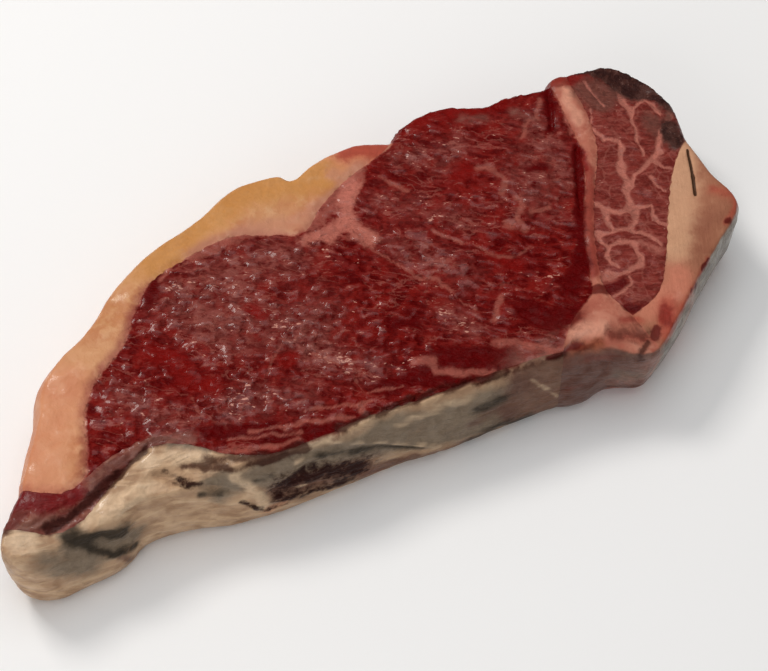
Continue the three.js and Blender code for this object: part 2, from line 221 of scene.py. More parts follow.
MARKS = {
    Tone.GOLD: courses(
        # Fat cap.
        (7.0, 1.0, [(-40, 43), (-24, 47), (-8, 50), (4, 47), (14, 42)]),
        (5.0, 0.25, [(-62, 33), (-50, 40)]),
    ),
    Tone.SALMON: courses(
        # Fat cap.
        (9.0, 0.9, [(-100, -2), (-92, 10), (-82, 20)]),
        (6.0, 0.9, [(20, 45), (37, 42)]),
        # Fat seam.
        (5.0, 1.0, [(54, -52, 12), (57, -54, 17), (61, -56, 19)], [(64, -56, 10)]),
        # Rib.
        (2.2, 0.6, [(-48.8, -30.7, 6), (-44.8, -31.5, 7.7)], [(-23, -35, 8.6), (-15.6, -35.2, 2.2)]),
    ),
    Tone.DUSK: courses(
        # Fat cap.
        (3.2, 1.0, [(-30, 38.5), (-12, 37), (-4, 34.5), (4, 32), (10, 33)]),
        (2.6, 0.9, [(18, 41), (20, 36.5), (14, 35)]),
        # Eye.
        (2.8, 1.0, [(25, 39), (17.5, 32), (12, 25.5)], [(8, 33), (4, 28)]),
        # Fat seam.
        (1.9, 1.1, [(31, -42, 28.2), (38.5, -43.5, 28), (43, -45, 28.4), (48, -46.6, 28.5)]),
        # Sawn bone.
        (4.5, 1.0, [(80, -40), (78, -43), (72, -43), (66, -44)]),
    ),
    Tone.ROSE: courses(
        # Fat cap.
        (4.0, 1.0, [(25, 46), (34, 42), (40, 41)]),
        # Fat seam.
        (1.6, 1.0, [(81.6, 8), (78, 2), (75, -4)]),
        (1.4, 0.8, [(52, -46.5), (57, -49.5), (60, -51)], [(58, -44), (62, -46)]),
        (2.8, 1.0, [(79.5, 3), (74, -5), (69, -12), (61, -26)]),
        # Sawn bone.
        (3.4, 1.0, [(71.5, -46.5, 28), (70, -49.7, 27), (66.8, -51.8, 26)]),
        (1.3, 0.9, [(109.5, -29.7, 27), (103, -33, 27)], [(91, -40.4, 27), (83, -45, 27), (75, -49.4, 27)]),
        (2.0, 0.7, [(105.8, -22.3, 28), (107.5, -25, 28)], [(112, -22, 28), (110, -28, 28)]),
    ),
    # Dark blood red patches; the lines along creases and gaps are painted shade.
    Tone.BLOOD: courses(
        # Eye.
        (4.4, 1.1, [(38, -27), (41, -33), (47, -35)], [(24, -36), (15, -31), (9, -27)]),
        (3.0, 1.0, [(-8, -26), (0, -28), (8, -33), (16, -36.5)], [(52, -28), (60, -22)]),
        (2.6, 0.9, [(-56, -12), (-48, -17), (-40, -20)], [(-43, -23), (-35, -26), (-27, -29.5)]),
        # Painted shade along the groove beside the fat seam.
        (1.7, 1.0, [(87, 32), (83.5, 26), (80, 21)], [(82, 11), (78, 5), (73, -3), (68, -10), (60, -22)]),
        (2.2, 0.8, [(-42, 38), (-48, 32)], [(66, 12), (70, 10)], [(4, -10), (10, -14)]),
        # Marbled lean.
        (1.3, 1.1, [(58, -32), (61, -33.4), (65, -34.2)], [(62, -41), (64, -43)]),
        # Fat seam.
        (1.5, 1.0, [(57, -31.8), (60.3, -33.2), (64.9, -34.2)]),
        (1.1, 0.9, [(34, -42.4, 28), (40, -43.5, 28.3), (44.2, -45, 28.4), (49, -46.6, 28)]),
        # Painted shade in the gap between the lump and the bone.
        (1.4, 1.1, [(64.6, -50.6, 26.8), (63, -52.6, 26)]),
        # Sawn bone.
        (0.9, 1.0, [(88.5, -40.6, 28), (88, -42, 27)], [(103.1, -32.7, 28), (104, -33.5, 26.5)]),
        (0.9, 1.0, [(82.7, -45, 25), (84, -45, 26)]),
        (0.8, 0.9, [(86, -43.4, 27), (78, -47.6, 27)], [(91, -40.2, 27), (88, -41.6, 27)]),
        # Dry lean.
        # Painted shade in the crevice over the rib.
        (3.6, 1.15, [(-107, -3), (-103, -6), (-99, -8.2), (-94, -8.6)]),
    ),
    Tone.BRIGHT: courses(
        # Eye.
        (3.4, 0.9, [(-55, 17), (-51, 11), (-53, 5), (-47, -1)]),
        (2.2, 1.0, [(-26, 14.5), (-24, 11)], [(-26.5, -5.5), (-24.5, -5)], [(40, -8), (44, -14)]),
        (3.0, 0.8, [(48, 21), (51, 21)], [(56, 42), (74, 36)], [(48, 46), (66, 40)]),
        # Marbled lean.
        (2.2, 1.0, [(88, 35), (93, 32.8), (101, 31)]),
        # Fat seam.
        (2.2, 1.0, [(88, 37), (92, 34.5), (95, 35)]),
        (0.9, 1.0, [(82.6, 11), (81.4, 7), (79.6, 3)]),
        # Sawn bone.
        (2.2, 1.0, [(70, -46.8, 28), (68.5, -50, 26.5)]),
    ),
    # Painted sheen: where the lean gets a mauve reflection.
    Tone.SHEEN: courses(
        # Eye.
        (8.0, 0.95, [(-42, 28), (-36, 22), (-30, 29), (-18, 28), (-8, 24)]),
        (6.5, 0.85, [(-38, 15), (-34, 8), (-27, 7), (-18, -3)], [(-30, 18), (-24, 6), (-10, 4)]),
        (5.5, 0.85, [(-46, -9), (-38, -12), (-28, -17)]),
        (5.0, 0.7, [(-17, -7), (-14, -13), (-8, -20)], [(18, 12), (26, 2), (30, -8)]),
        (5.0, 0.7, [(38, 36), (46, 28), (52, 30)], [(24, 26), (34, 14), (40, 8)]),
        (7.0, 0.9, [(76, 22), (72, 7), (62, 1), (61, 9), (70, 16)]),
        (4.0, 0.8, [(19, -15), (22, -23)], [(-60, -8), (-66, 2), (-70, 10)]),
    ),
    # Painted glints: where the lean gets spots of reflected light.
    Tone.GLINT: courses(
        # Eye.
        (3.2, 1.0, [(19, -17), (22, -22)], [(-21.5, 8), (-20.5, 3)], [(-15.5, -8), (-15, -12)]),
        (3.0, 0.8, [(-42, 31), (-38, 30)], [(-47, -6), (-39, -6)], [(-46, -11), (-36, -12)]),
        (3.4, 0.8, [(-14, -16), (-4, -22), (4, -24)], [(2, 22), (6, 12)], [(42, 34), (50, 32)]),
        (3.0, 0.6, [(-26, 14), (-24, 15)], [(30, 14), (36, 8)], [(48, -20), (54, -26)]),
    ),
    Tone.FAT_LINE: courses(
        # Eye.
        (0.55, 0.75, [(8, 25), (12.6, 21), (13.6, 13.5), (15.8, 7.7), (17.3, 2.6), (19.4, -1.5)]),
        (0.55, 0.7, [(19.4, -1.5), (22.7, -4.6), (24.4, -10), (24.7, -15), (26, -19)]),
        (0.8, 0.8, [(28.8, 33), (29.6, 29), (32, 25)], [(30.7, 8.4), (34.7, 1.7)]),
        (1.2, 0.8, [(53.5, 20.5), (56.6, 17.6), (58, 13.7), (56.5, 10.3), (54, 8.4)]),
        (1.3, 0.75, [(57.7, 5.7), (56.8, 2.7), (53, -0.8), (52.7, -4)], [(49.4, 0), (50.4, -2)]),
        (0.7, 0.6, [(37.8, -2.6), (40.8, -8.8), (46.7, -10.8), (50.8, -10.3)]),
        (1.0, 0.8, [(34, -19.5), (28.7, -24.7)], [(58, -0.5), (63, -2.7)]),
        (0.6, 0.6, [(-26, -0.8), (-29, -2.5), (-32.8, -5.7)], [(-53.4, -1), (-54.7, -6)]),
        (0.5, 0.8, [(-42, 36), (-39, 38), (-33, 37.7)], [(-18.7, -6.8), (-14.7, -13.6)]),
        (1.0, 0.8, [(83.4, 31.4), (78.3, 26)], [(75.4, 26.4), (71, 22.8)], [(88, 24), (84, 17)]),
        (1.1, 0.95, [(3, -23.8), (6.9, -26), (6, -29.7), (12.4, -34.6), (18.8, -38)]),
        (1.2, 0.9, [(25, -30.6), (29.4, -33.8), (34, -39), (38, -42)]),
        (0.8, 0.9, [(-37, -22.3), (-32, -23.7), (-24, -27.5), (-20.4, -29.2)]),
        (0.5, 0.8, [(-52, -17), (-44, -21), (-34, -26)], [(-46, -18), (-38, -21.5)]),
        (0.5, 0.8, [(-30, -21), (-22, -24.5), (-14, -28)], [(-12, -25), (-4, -28.5)]),
        (1.0, 0.9, [(-16.7, -27.2), (-17.5, -30), (-16.8, -32.6)]),
        # Marbled lean.
        (0.95, 1.1, [(105.7, 22.9), (104, 16.8), (102.7, 12.8)]),
        (0.5, 0.9, [(102.7, 12.8), (100.6, 7.7), (98.5, 3.4), (96.6, -1.5)]),
        (0.7, 1.0, [(103.5, 14), (109.7, 15.6), (110.8, 12.4), (110.8, 8.6)]),
        (0.85, 1.0, [(113.5, 7.5), (112.8, 5.8), (108.5, 4), (104, 0.6), (101.6, -2.9)]),
        (0.85, 1.1, [(101.6, -2.9), (97.8, -4.5), (93.4, -5.7), (90.5, -5.8), (86.7, -8.7)]),
        (0.8, 1.1, [(90.1, 14), (90.2, 8.6), (93.3, 6.6), (92.6, 3.2), (89.3, -0.5)]),
        (1.15, 1.1, [(89.3, -0.5), (87.7, -5), (84.6, -10.3), (82.5, -14.4), (83, -16.4)]),
        (0.35, 0.8, [(98, 29.6), (98.4, 24.5), (97.3, 19.1)], [(94, 20), (91, 16)]),
        (0.5, 0.9, [(97.8, -4.5), (99.4, -8.5), (101, -10.2)], [(93.9, -8.9), (93.7, -13), (94.3, -15.4)]),
        (1.0, 1.1, [(74.9, -7.8), (76, -11.7), (78.5, -14.4), (81.9, -15.2)]),
        (0.75, 1.0, [(81.9, -15.2), (82.1, -17.6), (78.8, -20)], [(75, -11.7), (74, -15.1), (73.7, -18.2)]),
        (0.65, 1.0, [(68.4, -16.8), (72, -18.5), (77.3, -20), (80.1, -23), (81.8, -26), (82.1, -29.4)]),
        (0.65, 1.0, [(84.3, -15.4), (88.1, -17), (86.6, -19.6), (86.5, -22.4), (87.9, -24.5)]),
        (
            0.65,
            1.0,
            [(69.2, -17), (68.6, -19.9), (69.2, -22.5), (66.9, -24.2), (67.2, -27.2), (67.9, -28.8)],
        ),
        (0.7, 1.0, [(69.2, -22.5), (72.6, -22.4), (75.6, -23.7), (75.4, -26.6), (74.9, -29.8)]),
        (0.8, 1.0, [(74.9, -29.8), (73, -31.8), (69.4, -32.1), (66.3, -31), (64, -28.8)]),
        (1.5, 0.55, [(77, -25.8), (78.9, -28.4), (80.6, -31.3)], [(61.3, -29.3), (64.7, -30.5)]),
        (0.5, 0.9, [(67.9, -33.4), (67.1, -35.7), (64.1, -36.5), (62, -36.8), (57, -35.5), (54.6, -34.4)]),
        # Rib.
        (0.8, 0.8, [(-59.4, -16.7), (-51.7, -21.2), (-42.9, -25.4), (-35.9, -27.1)]),
    ),
    Tone.CRUST: courses(
        # Marbled lean.
        (4.2, 1.0, [(106, 31), (110.6, 27), (114, 21), (115, 15), (116, 9)]),
        (3.0, 1.0, [(107, 24), (108, 20), (112, 18.4)], [(109.5, 3), (107.3, -0.8)]),
        (1.6, 0.8, [(110, -2), (107, -4)], [(99, 33.5), (105, 33)]),
        (5.0, 1.0, [(116, 4, 16), (116, 2, 6)], [(100, 35, 10), (96, 36, 2)]),
    ),
    # Painted shade in the bone's slit.
    Tone.SLIT: courses(
        # Sawn bone.
        (0.46, 1.0, [(108.4, -7.2), (106.5, -11), (104, -15.6)]),
        (0.56, 1.0, [(104, -15.6), (100.9, -20.7)]),
    ),
    # Painted shade in crevices and along the gaps between parts.
    Tone.GAP: courses(
        # Fat seam.
        (1.1, 1.0, [(60, -52.8, 26), (57.6, -54, 26), (56.4, -54.5, 23.8)]),
        # Rib.
        (1.25, 1.1, [(-104, -13.4), (-97.3, -13.6), (-91.4, -12.5), (-85, -10.6), (-80.6, -9.5)]),
        (1.1, 0.9, [(-84, -11), (-76.6, -9), (-71.7, -8.2)]),
        (1.0, 0.95, [(-66, -16.5, 27), (-62, -19.5, 26.6), (-56, -24.4, 26.8), (-47, -27.6, 27.2)]),
        (1.1, 0.95, [(-47, -27.6, 27.2), (-41, -29.2, 27.4), (-36, -30.4, 27.4)]),
        (1.2, 0.9, [(-60, -19), (-52, -23.5), (-44, -27.5), (-36, -29)]),
        (
            1.3,
            1.2,
            [
                (-26, -30, 28), (-15.3, -31.3, 28), (-7.8, -32.8, 28),
                (3.4, -35, 28.2), (14.3, -38.4, 28.2), (22, -40.7, 28),
            ],
        ),
        (1.3, 0.7, [(22, -40.7, 28), (30, -42.2, 28.2), (38, -44, 28)]),
    ),
    # Pale marbling and bone, and painted highlights on the seam's lump and the rib's ridges.
    Tone.PALE: courses(
        # Eye.
        (2.6, 1.0, [(12, 26), (4.7, 24.2), (0, 26)], [(12.5, 22), (14.5, 17)], [(20, 35), (15, 30)]),
        # Marbled lean.
        (0.8, 1.0, [(112, 25), (111.7, 22.5)]),
        # Fat seam: painted highlights on the lump.
        (3.0, 1.0, [(44, -40.5), (47.4, -41.5), (51, -43.5)]),
        (1.9, 1.0, [(92, 31), (89.3, 25), (88.2, 18)]),
        # Sawn bone.
        (5.2, 1.0, [(106, -8), (98.3, -17.5), (90.4, -26), (84, -33)]),
        # Rib: painted highlights, most on its ridges and knob.
        (3.2, 1.0, [(-112.3, -12.6, 27), (-110, -14.5, 26.6)]),
        (3.6, 0.6, [(-95, -15.5, 26), (-89.5, -16.3, 26.4), (-82.5, -15.5, 26.8), (-77, -17.2, 26)]),
        (1.1, 1.0, [(-91, -18.6, 25.7), (-85.7, -18.8, 26), (-82, -18.5, 26), (-77.8, -18, 26)]),
        (2.4, 0.8, [(-73.4, -11.2, 28), (-67.7, -13, 28), (-61.5, -17.6, 27.5)]),
        (1.7, 1.0, [(-55.3, -26, 25), (-52.4, -28.4, 19.4), (-50.4, -29.9, 12.8), (-50, -30.4, 8.6)]),
        (1.0, 0.8, [(-39.8, -31, 24.3), (-37.7, -31.3, 24.5)], [(-40.5, -32, 12.5), (-38, -32.5, 12)]),
        (0.9, 0.6, [(-39.7, -29.3, 27.7), (-27.4, -32.6, 26.4), (-14.8, -35.5, 18.5), (0.6, -39.7, 7)]),
        (2.0, 0.5, [(-10, -35.8, 22.7), (-3.6, -37.1, 24.3), (1.5, -37.7, 25), (9, -39.6, 24)]),
        (0.8, 0.5, [(28.5, -43.4, 22.4), (33.3, -45.3, 15.4), (36, -46.2, 10.6)]),
    ),
    Tone.GREY: courses(
        # Rib.
        (5.0, 0.9, [(-108, -19, 22), (-105, -21, 18), (-99, -22.4, 13), (-101.4, -20, 23)]),
        (4.2, 1.0, [(-97, -20, 20), (-90, -22, 16), (-84, -21, 13)]),
        (3.2, 0.9, [(-52, -27.5, 24), (-47, -29, 19), (-44, -30.5, 15)], [(-56, -26, 21), (-60, -25, 18)]),
        (1.6, 0.8, [(-66.2, -10.6, 28.6), (-61.3, -13.7, 28.5), (-58.5, -16.4, 28.2)]),
        (3.0, 1.0, [(-62, -23.8, 24.5), (-57, -25.5, 24.4)]),
        (
            4.0,
            0.9,
            [(-46, -28, 26), (-36, -31, 24), (-24, -34, 22), (-10, -36, 16), (6, -40, 9), (20, -42, 8)],
        ),
        (7.0, 0.8, [(-40, -30, 22), (-20, -34, 18), (0, -39, 16), (18, -43, 14)]),
        (4.0, 0.9, [(-14, -35, 24), (0, -38, 22), (14, -41, 22), (26, -43, 22)]),
        (
            4.0,
            0.7,
            [(53.4, -51.3, 14.4), (58.3, -54.3, 13.2)],
            [(70, -54, 12), (84, -46, 12), (98, -39, 12)],
        ),
    ),
    Tone.SLATE: courses(
        # Rib.
        (3.0, 1.1, [(-100, -18.6, 25), (-97.4, -20, 22.5), (-93, -21, 22), (-87, -20.8, 19)]),
        (1.8, 1.0, [(-96.5, -21.5, 18.5), (-91.2, -22.7, 12.2), (-84.5, -21.3, 8)]),
        (1.5, 0.8, [(-50, -28, 22), (-46, -29, 22)], [(-65, -24, 21), (-60, -26, 19.5)]),
        (
            1.8,
            0.8,
            [(-24, -34.5, 20), (-15, -35.8, 16.4), (-4.2, -38.6, 9.2)],
            [(-33, -32, 24), (-27, -33, 22)],
        ),
        (
            3.0,
            0.8,
            [(10.3, -41, 3), (19, -42.8, 5), (28, -43.3, 2)],
            [(12.7, -41.3, 18), (19.5, -42.5, 18.7)],
        ),
    ),
    Tone.BROWN: courses(
        # Fat seam.
        (2.6, 0.9, [(53, -46, 28), (58, -49, 28), (61, -50.5, 27)]),
        # Rib.
        (1.1, 0.95, [(-71.2, -16.2, 26.3), (-68.1, -19.8, 25.1), (-64.7, -23.1, 24.3)]),
        (4.4, 0.95, [(-43, -31.4, 17), (-36.8, -32.8, 17), (-29.2, -34.2, 14.5), (-22, -35.2, 11.6)]),
        (2.4, 0.85, [(-46, -31, 10.5), (-39.6, -32.5, 8.6), (-32, -33.7, 6.5), (-25, -34.5, 6)]),
        (0.8, 0.8, [(-55, -28.3, 13.7), (-53, -29.3, 11), (-49.5, -30.5, 6.6), (-44, -31.6, 6)]),
        (1.6, 0.8, [(39, -47, 13.2), (42, -47.5, 14)], [(44, -47.5, 25), (52, -50, 24)]),
    ),
    Tone.MAUVE: courses(
        # Eye.
        (2.0, 0.5, [(60, 38), (66, 34)], [(74, 32), (78, 26)]),
        # Marbled lean.
        (3.6, 0.8, [(101, 28), (103, 22)], [(107, 8), (105, 4), (108, -3)], [(95, 27), (97, 20)]),
        # Dry lean.
        (1.6, 0.8, [(-110, -10), (-103.5, -12), (-97, -12.8), (-90.7, -10.8), (-81.6, -7)]),
        (1.6, 0.85, [(-87, -9), (-79, -7.4), (-72, -6.5), (-65, -8), (-60, -12)]),
        # Rib.
        (1.8, 0.8, [(-90, -23, 9.6), (-87, -22.2, 4)]),
        (6.0, 1.0, [(-44, -31, 13), (-34, -33, 12), (-22, -35, 10)]),
        (2.2, 0.9, [(-39.4, -32.5, 14.5), (-34, -33.3, 15)], [(-15, -36, 5), (-6.7, -37.8, 5)]),
        (3.0, 0.6, [(11, -41.6, 12.7), (14.6, -41.9, 15), (18.6, -42.5, 15), (23.8, -43.4, 10.6)]),
        (8.0, 1.4, [(28, -44, 22), (38, -46, 20)], [(28, -44, 8), (38, -46, 6)]),
        (3.0, 0.7, [(-20, -35, 4), (-4, -38, 3), (14, -42, 2)]),
        (7.0, 0.9, [(38, -46, 20), (47, -48.7, 16), (54, -51, 18)]),
    ),
}

CREASES = courses(
    (0.5, 0.8, [(108, -8.3), (106.5, -11), (104, -15.6), (100.8, -21)]),
    (0.8, 0.7, [(87, 32), (83.5, 26), (80.3, 21)], [(82.7, 11.6), (78.6, 5.9), (73.5, -2), (68.6, -10)]),
    (1.2, 0.8, [(-105, -13.8), (-99.5, -14.4), (-92.6, -14), (-87.2, -12.3), (-81.7, -10.3)]),
    (0.9, 0.7, [(-81.7, -10.3), (-76.6, -9.2), (-71.7, -8.4)]),
    (0.8, 0.4, [(12.6, 21), (13.6, 13.5), (15.8, 7.7), (17.3, 2.6), (19.4, -1.5), (24.4, -10)]),
    (0.9, 0.7, [(-15.3, -31.5), (-7.8, -32.8), (3.4, -35), (14.3, -38.4)]),
    (1.2, 0.6, [(-43, -23), (-35, -26), (-27, -29.5)], [(36, -27), (39, -34), (45, -36.5)]),
    (
        0.9,
        0.8,
        [(-73, -15.3, 26.6), (-69.5, -18, 25.6), (-68, -22, 24.6), (-63.3, -24, 23.4), (-58, -26.5, 20)],
    ),
    (2.2, 0.9, [(-101, -19, 24.5), (-97.4, -20, 22.5), (-93, -21, 22)], [(-95, -21.5, 19), (-88, -22, 13)]),
    (
        1.8,
        0.9,
        [(-41, -32, 18), (-36.9, -32.2, 20.5), (-32.7, -33, 20)],
        [(-46.5, -31, 13.7), (-34, -33.5, 10)],
    ),
    (1.5, -0.6, [(-55.3, -26, 25), (-52.4, -28.4, 19.4), (-50.4, -29.9, 12.8)]),
    (1.6, -0.7, [(-91, -18, 26), (-85.7, -18.2, 26.4), (-80, -17.6, 26.4)]),
    (0.9, -0.4, [(-39.7, -29.3, 27.7), (-27.4, -32.6, 26.4), (-14.8, -35.5, 18.5), (0.6, -39.7, 7)]),
    (
        1.0,
        -0.4,
        [(3, -23.8), (6.9, -26), (6, -29.7), (12.4, -34.6)],
        [(25, -30.6), (29.4, -33.8), (34, -39)],
    ),
)


class Socket:
    """One output of a node, with arithmetic that adds Math nodes."""

    def __init__(self, graph: "Graph", output: bpy.types.NodeSocket) -> None:
        """Keeps the graph and the output."""
        self.graph = graph
        self.output = output

    def _math(self, operation: str, *values: "Socket | float") -> "Socket":
        """Adds a Math node."""
        return self.graph.math(operation, *values)

    def __add__(self, other: "Socket | float") -> "Socket":
        """self + other."""
        return self._math("ADD", self, other)

    __radd__ = __add__

    def __sub__(self, other: "Socket | float") -> "Socket":
        """self - other."""
        return self._math("SUBTRACT", self, other)

    def __rsub__(self, other: float) -> "Socket":
        """other - self."""
        return self._math("SUBTRACT", other, self)

    def __mul__(self, other: "Socket | float") -> "Socket":
        """self * other."""
        return self._math("MULTIPLY", self, other)

    __rmul__ = __mul__


class Graph:
    """Nodes of a material or a Geometry Nodes tree, written as Python expressions.

    Args:
        tree: The node tree that gets the nodes.
    """

    def __init__(self, tree: bpy.types.NodeTree) -> None:
        """Keeps the tree."""
        self.tree = tree

    def node(
        self,
        kind: str,
        settings: dict[str, object] | None = None,
        inputs: dict[str, object] | None = None,
    ) -> bpy.types.Node:
        """Adds one node.

        Args:
            kind: Blender's name for the node's type.
            settings: Its properties, set before its sockets.
            inputs: A value or a Socket for each socket, by the socket's identifier.

        Returns:
            The node.
        """
        made = self.tree.nodes.new(kind)
        for name, setting in (settings or {}).items():
            setattr(made, name, setting)
        by_identifier = {socket.identifier: socket for socket in made.inputs}
        for identifier, value in (inputs or {}).items():
            if isinstance(value, Socket):
                self.tree.links.new(value.output, by_identifier[identifier])
            else:
                by_identifier[identifier].default_value = value
        return made

    def take(self, made: bpy.types.Node, output: int = 0) -> Socket:
        """Wraps one output of a node."""
        return Socket(self, made.outputs[output])

    def math(self, operation: str, *values: Socket | float) -> Socket:
        """Adds a Math node whose sockets take the values in order."""
        names = ("Value", "Value_001", "Value_002")
        return self.take(self.node("ShaderNodeMath", {"operation": operation}, dict(zip(names, values))))

    def vector(self, operation: str, *values: object) -> Socket:
        """Adds a Vector Math node.

        Args:
            operation: What it does.
            values: What its sockets take, in order.

        Returns:
            The vector that it gives.
        """
        names = ("Vector", "Vector_001")
        made = self.node("ShaderNodeVectorMath", {"operation": operation}, dict(zip(names, values)))
        return self.take(made)

    def scaled(self, vector: Socket, factor: Socket | float) -> Socket:
        """A vector times a number."""
        inputs = {"Vector": vector, "Scale": factor}
        return self.take(self.node("ShaderNodeVectorMath", {"operation": "SCALE"}, inputs))

    def step(self, value: Socket, low: float, high: float) -> Socket:
        """Rises smoothly from 0 to 1.

        Args:
            value: What it reads.
            low: Where it is 0.
            high: Where it is 1; below low makes it fall.

        Returns:
            The number from 0 to 1.
        """
        settings = {"interpolation_type": "SMOOTHSTEP"}
        inputs = {"Value": value, "From Min": low, "From Max": high}
        return self.take(self.node("ShaderNodeMapRange", settings, inputs))

    def between(self, share: Socket | float, low: Socket | float, high: Socket | float) -> Socket:
        """A number between low and high, by share."""
        inputs = {"Factor_Float": share, "A_Float": low, "B_Float": high}
        return self.take(self.node("ShaderNodeMix", {"data_type": "FLOAT"}, inputs))

    def blend(self, share: Socket | float, colour: object, over: object) -> Socket:
        """A colour with another over it, by share."""
        inputs = {"Factor_Float": share, "A_Color": colour, "B_Color": over}
        return self.take(self.node("ShaderNodeMix", {"data_type": "RGBA"}, inputs), 2)

    def stretched(
        self,
        place: Socket,
        turn: tuple[float, float, float],
        stretch: tuple[float, float, float],
    ) -> Socket:
        """Turns a place and divides its turned axes, so that a pattern there grows longer.

        Args:
            place: The place.
            turn: How far it is turned about each axis, in degrees.
            stretch: How many times longer the pattern grows along each turned axis.

        Returns:
            The place to read the pattern at.
        """
        inputs = {"Vector": place, "Rotation": tuple(math.radians(angle) for angle in turn)}
        settings = {"rotation_type": "EULER_XYZ", "invert": True}
        turned = self.take(self.node("ShaderNodeVectorRotate", settings, inputs))
        return self.vector("DIVIDE", turned, stretch)

    def noise(
        self,
        place: Socket,
        size: float,
        detail: float = 2.0,
        roughness: float = 0.5,
        warp: float = 0.0,
    ) -> Socket:
        """Adds cloudy noise.

        Args:
            place: Where it is read.
            size: About how wide its lumps are, in the units of place.
            detail: How many finer noises lie over it.
            roughness: How strong these are.
            warp: How far it is twisted.

        Returns:
            The noise, from 0 to 1.
        """
        inputs = {
            "Vector": place,
            "Scale": 1 / size,
            "Detail": detail,
            "Roughness": roughness,
            "Distortion": warp,
        }
        return self.take(self.node("ShaderNodeTexNoise", None, inputs))

    def cells(self, place: Socket, size: float, feature: str = "SMOOTH_F1") -> Socket:
        """The distance to the middle or the edge of the cell that a place is in."""
        inputs = {"Vector": place, "Scale": 1 / size, "Randomness": 1.0}
        return self.take(self.node("ShaderNodeTexVoronoi", {"feature": feature}, inputs))

    def warped(self, place: Socket, size: float, reach: float) -> Socket:
        """Moves a place about by noise.

        Args:
            place: The place.
            size: The size of the noise.
            reach: How far it moves, half of this each way.

        Returns:
            The moved place.
        """
        inputs = {"Vector": place, "Scale": 1 / size, "Detail": 1.0}
        colour = self.take(self.node("ShaderNodeTexNoise", None, inputs), 1)
        centred = self.vector("SUBTRACT", colour, (0.5, 0.5, 0.5))
        return self.vector("ADD", place, self.scaled(centred, reach))


@dataclass
class FootOutline:
    """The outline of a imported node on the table, in millimetres.

    Args:
        node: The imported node's object.
    """

    node: bpy.types.Object
    ring: np.ndarray = field(init=False)

    def __post_init__(self) -> None:
        """Reads the ring of points round the node's flat foot, in order."""
        shape = bmesh.new()
        shape.from_mesh(self.node.data)
        bmesh.ops.remove_doubles(shape, verts=shape.verts, dist=SAME_POINT)
        flat = {face for face in shape.faces if all(abs(v.co.z) < SAME_POINT for v in face.verts)}
        rim = [edge for edge in shape.edges if sum(face in flat for face in edge.link_faces) == 1]
        beside: dict[int, list[int]] = {}
        for edge in rim:
            first, second = (vert.index for vert in edge.verts)
            beside.setdefault(first, []).append(second)
            beside.setdefault(second, []).append(first)
        shape.verts.ensure_lookup_table()
        start = next(iter(beside))
        order, last, here = [start], start, beside[start][0]
        while here != start:
            order.append(here)
            onward = next(step for step in beside[here] if step != last)
            last, here = here, onward
        self.ring = np.array([shape.verts[i].co.xy for i in order], dtype=np.float32) / MM
        shape.free()

    def closed(self) -> np.ndarray:
        """The ring with its first point again at the end."""
        return np.vstack((self.ring, self.ring[:1]))

    def nearest(self, point: np.ndarray) -> tuple[np.ndarray, np.ndarray]:
        """Finds the place on the outline that is nearest to a point.

        Args:
            point: A place seen from above.

        Returns:
            The place on the outline, and the way from there into the tissue.
        """
        closed = self.closed()
        starts, alongs = closed[:-1], np.diff(closed, axis=0)
        lengths = np.maximum(np.einsum("ij,ij->i", alongs, alongs), 1e-12)
        shares = np.clip(np.einsum("ij,ij->i", point - starts, alongs) / lengths, 0, 1)
        spots = starts + shares[:, None] * alongs
        best = int(np.argmin(np.linalg.norm(spots - point, axis=1)))
        area = np.sum(closed[:-1, 0] * closed[1:, 1] - closed[1:, 0] * closed[:-1, 1])
        inward = np.array((-alongs[best][1], alongs[best][0])) * np.sign(area)
        return spots[best], inward / np.linalg.norm(inward)

    def away(self, places: np.ndarray) -> np.ndarray:
        """Measures how far places lie outside the outline.

        Args:
            places: Places seen from above.

        Returns:
            The distance of each place, which is 0 inside.
        """
        inside = np.zeros(len(places), dtype=bool)
        closed = self.closed()
        for (x0, y0), (x1, y1) in zip(closed[:-1], closed[1:]):
            if y0 == y1:
                continue
            spans = (places[:, 1] < y0) != (places[:, 1] < y1)
            crossing = x0 + (places[:, 1] - y0) * (x1 - x0) / (y1 - y0)
            inside ^= spans & (places[:, 0] < crossing)
        return np.where(inside, 0, distance_to_line(places, closed))


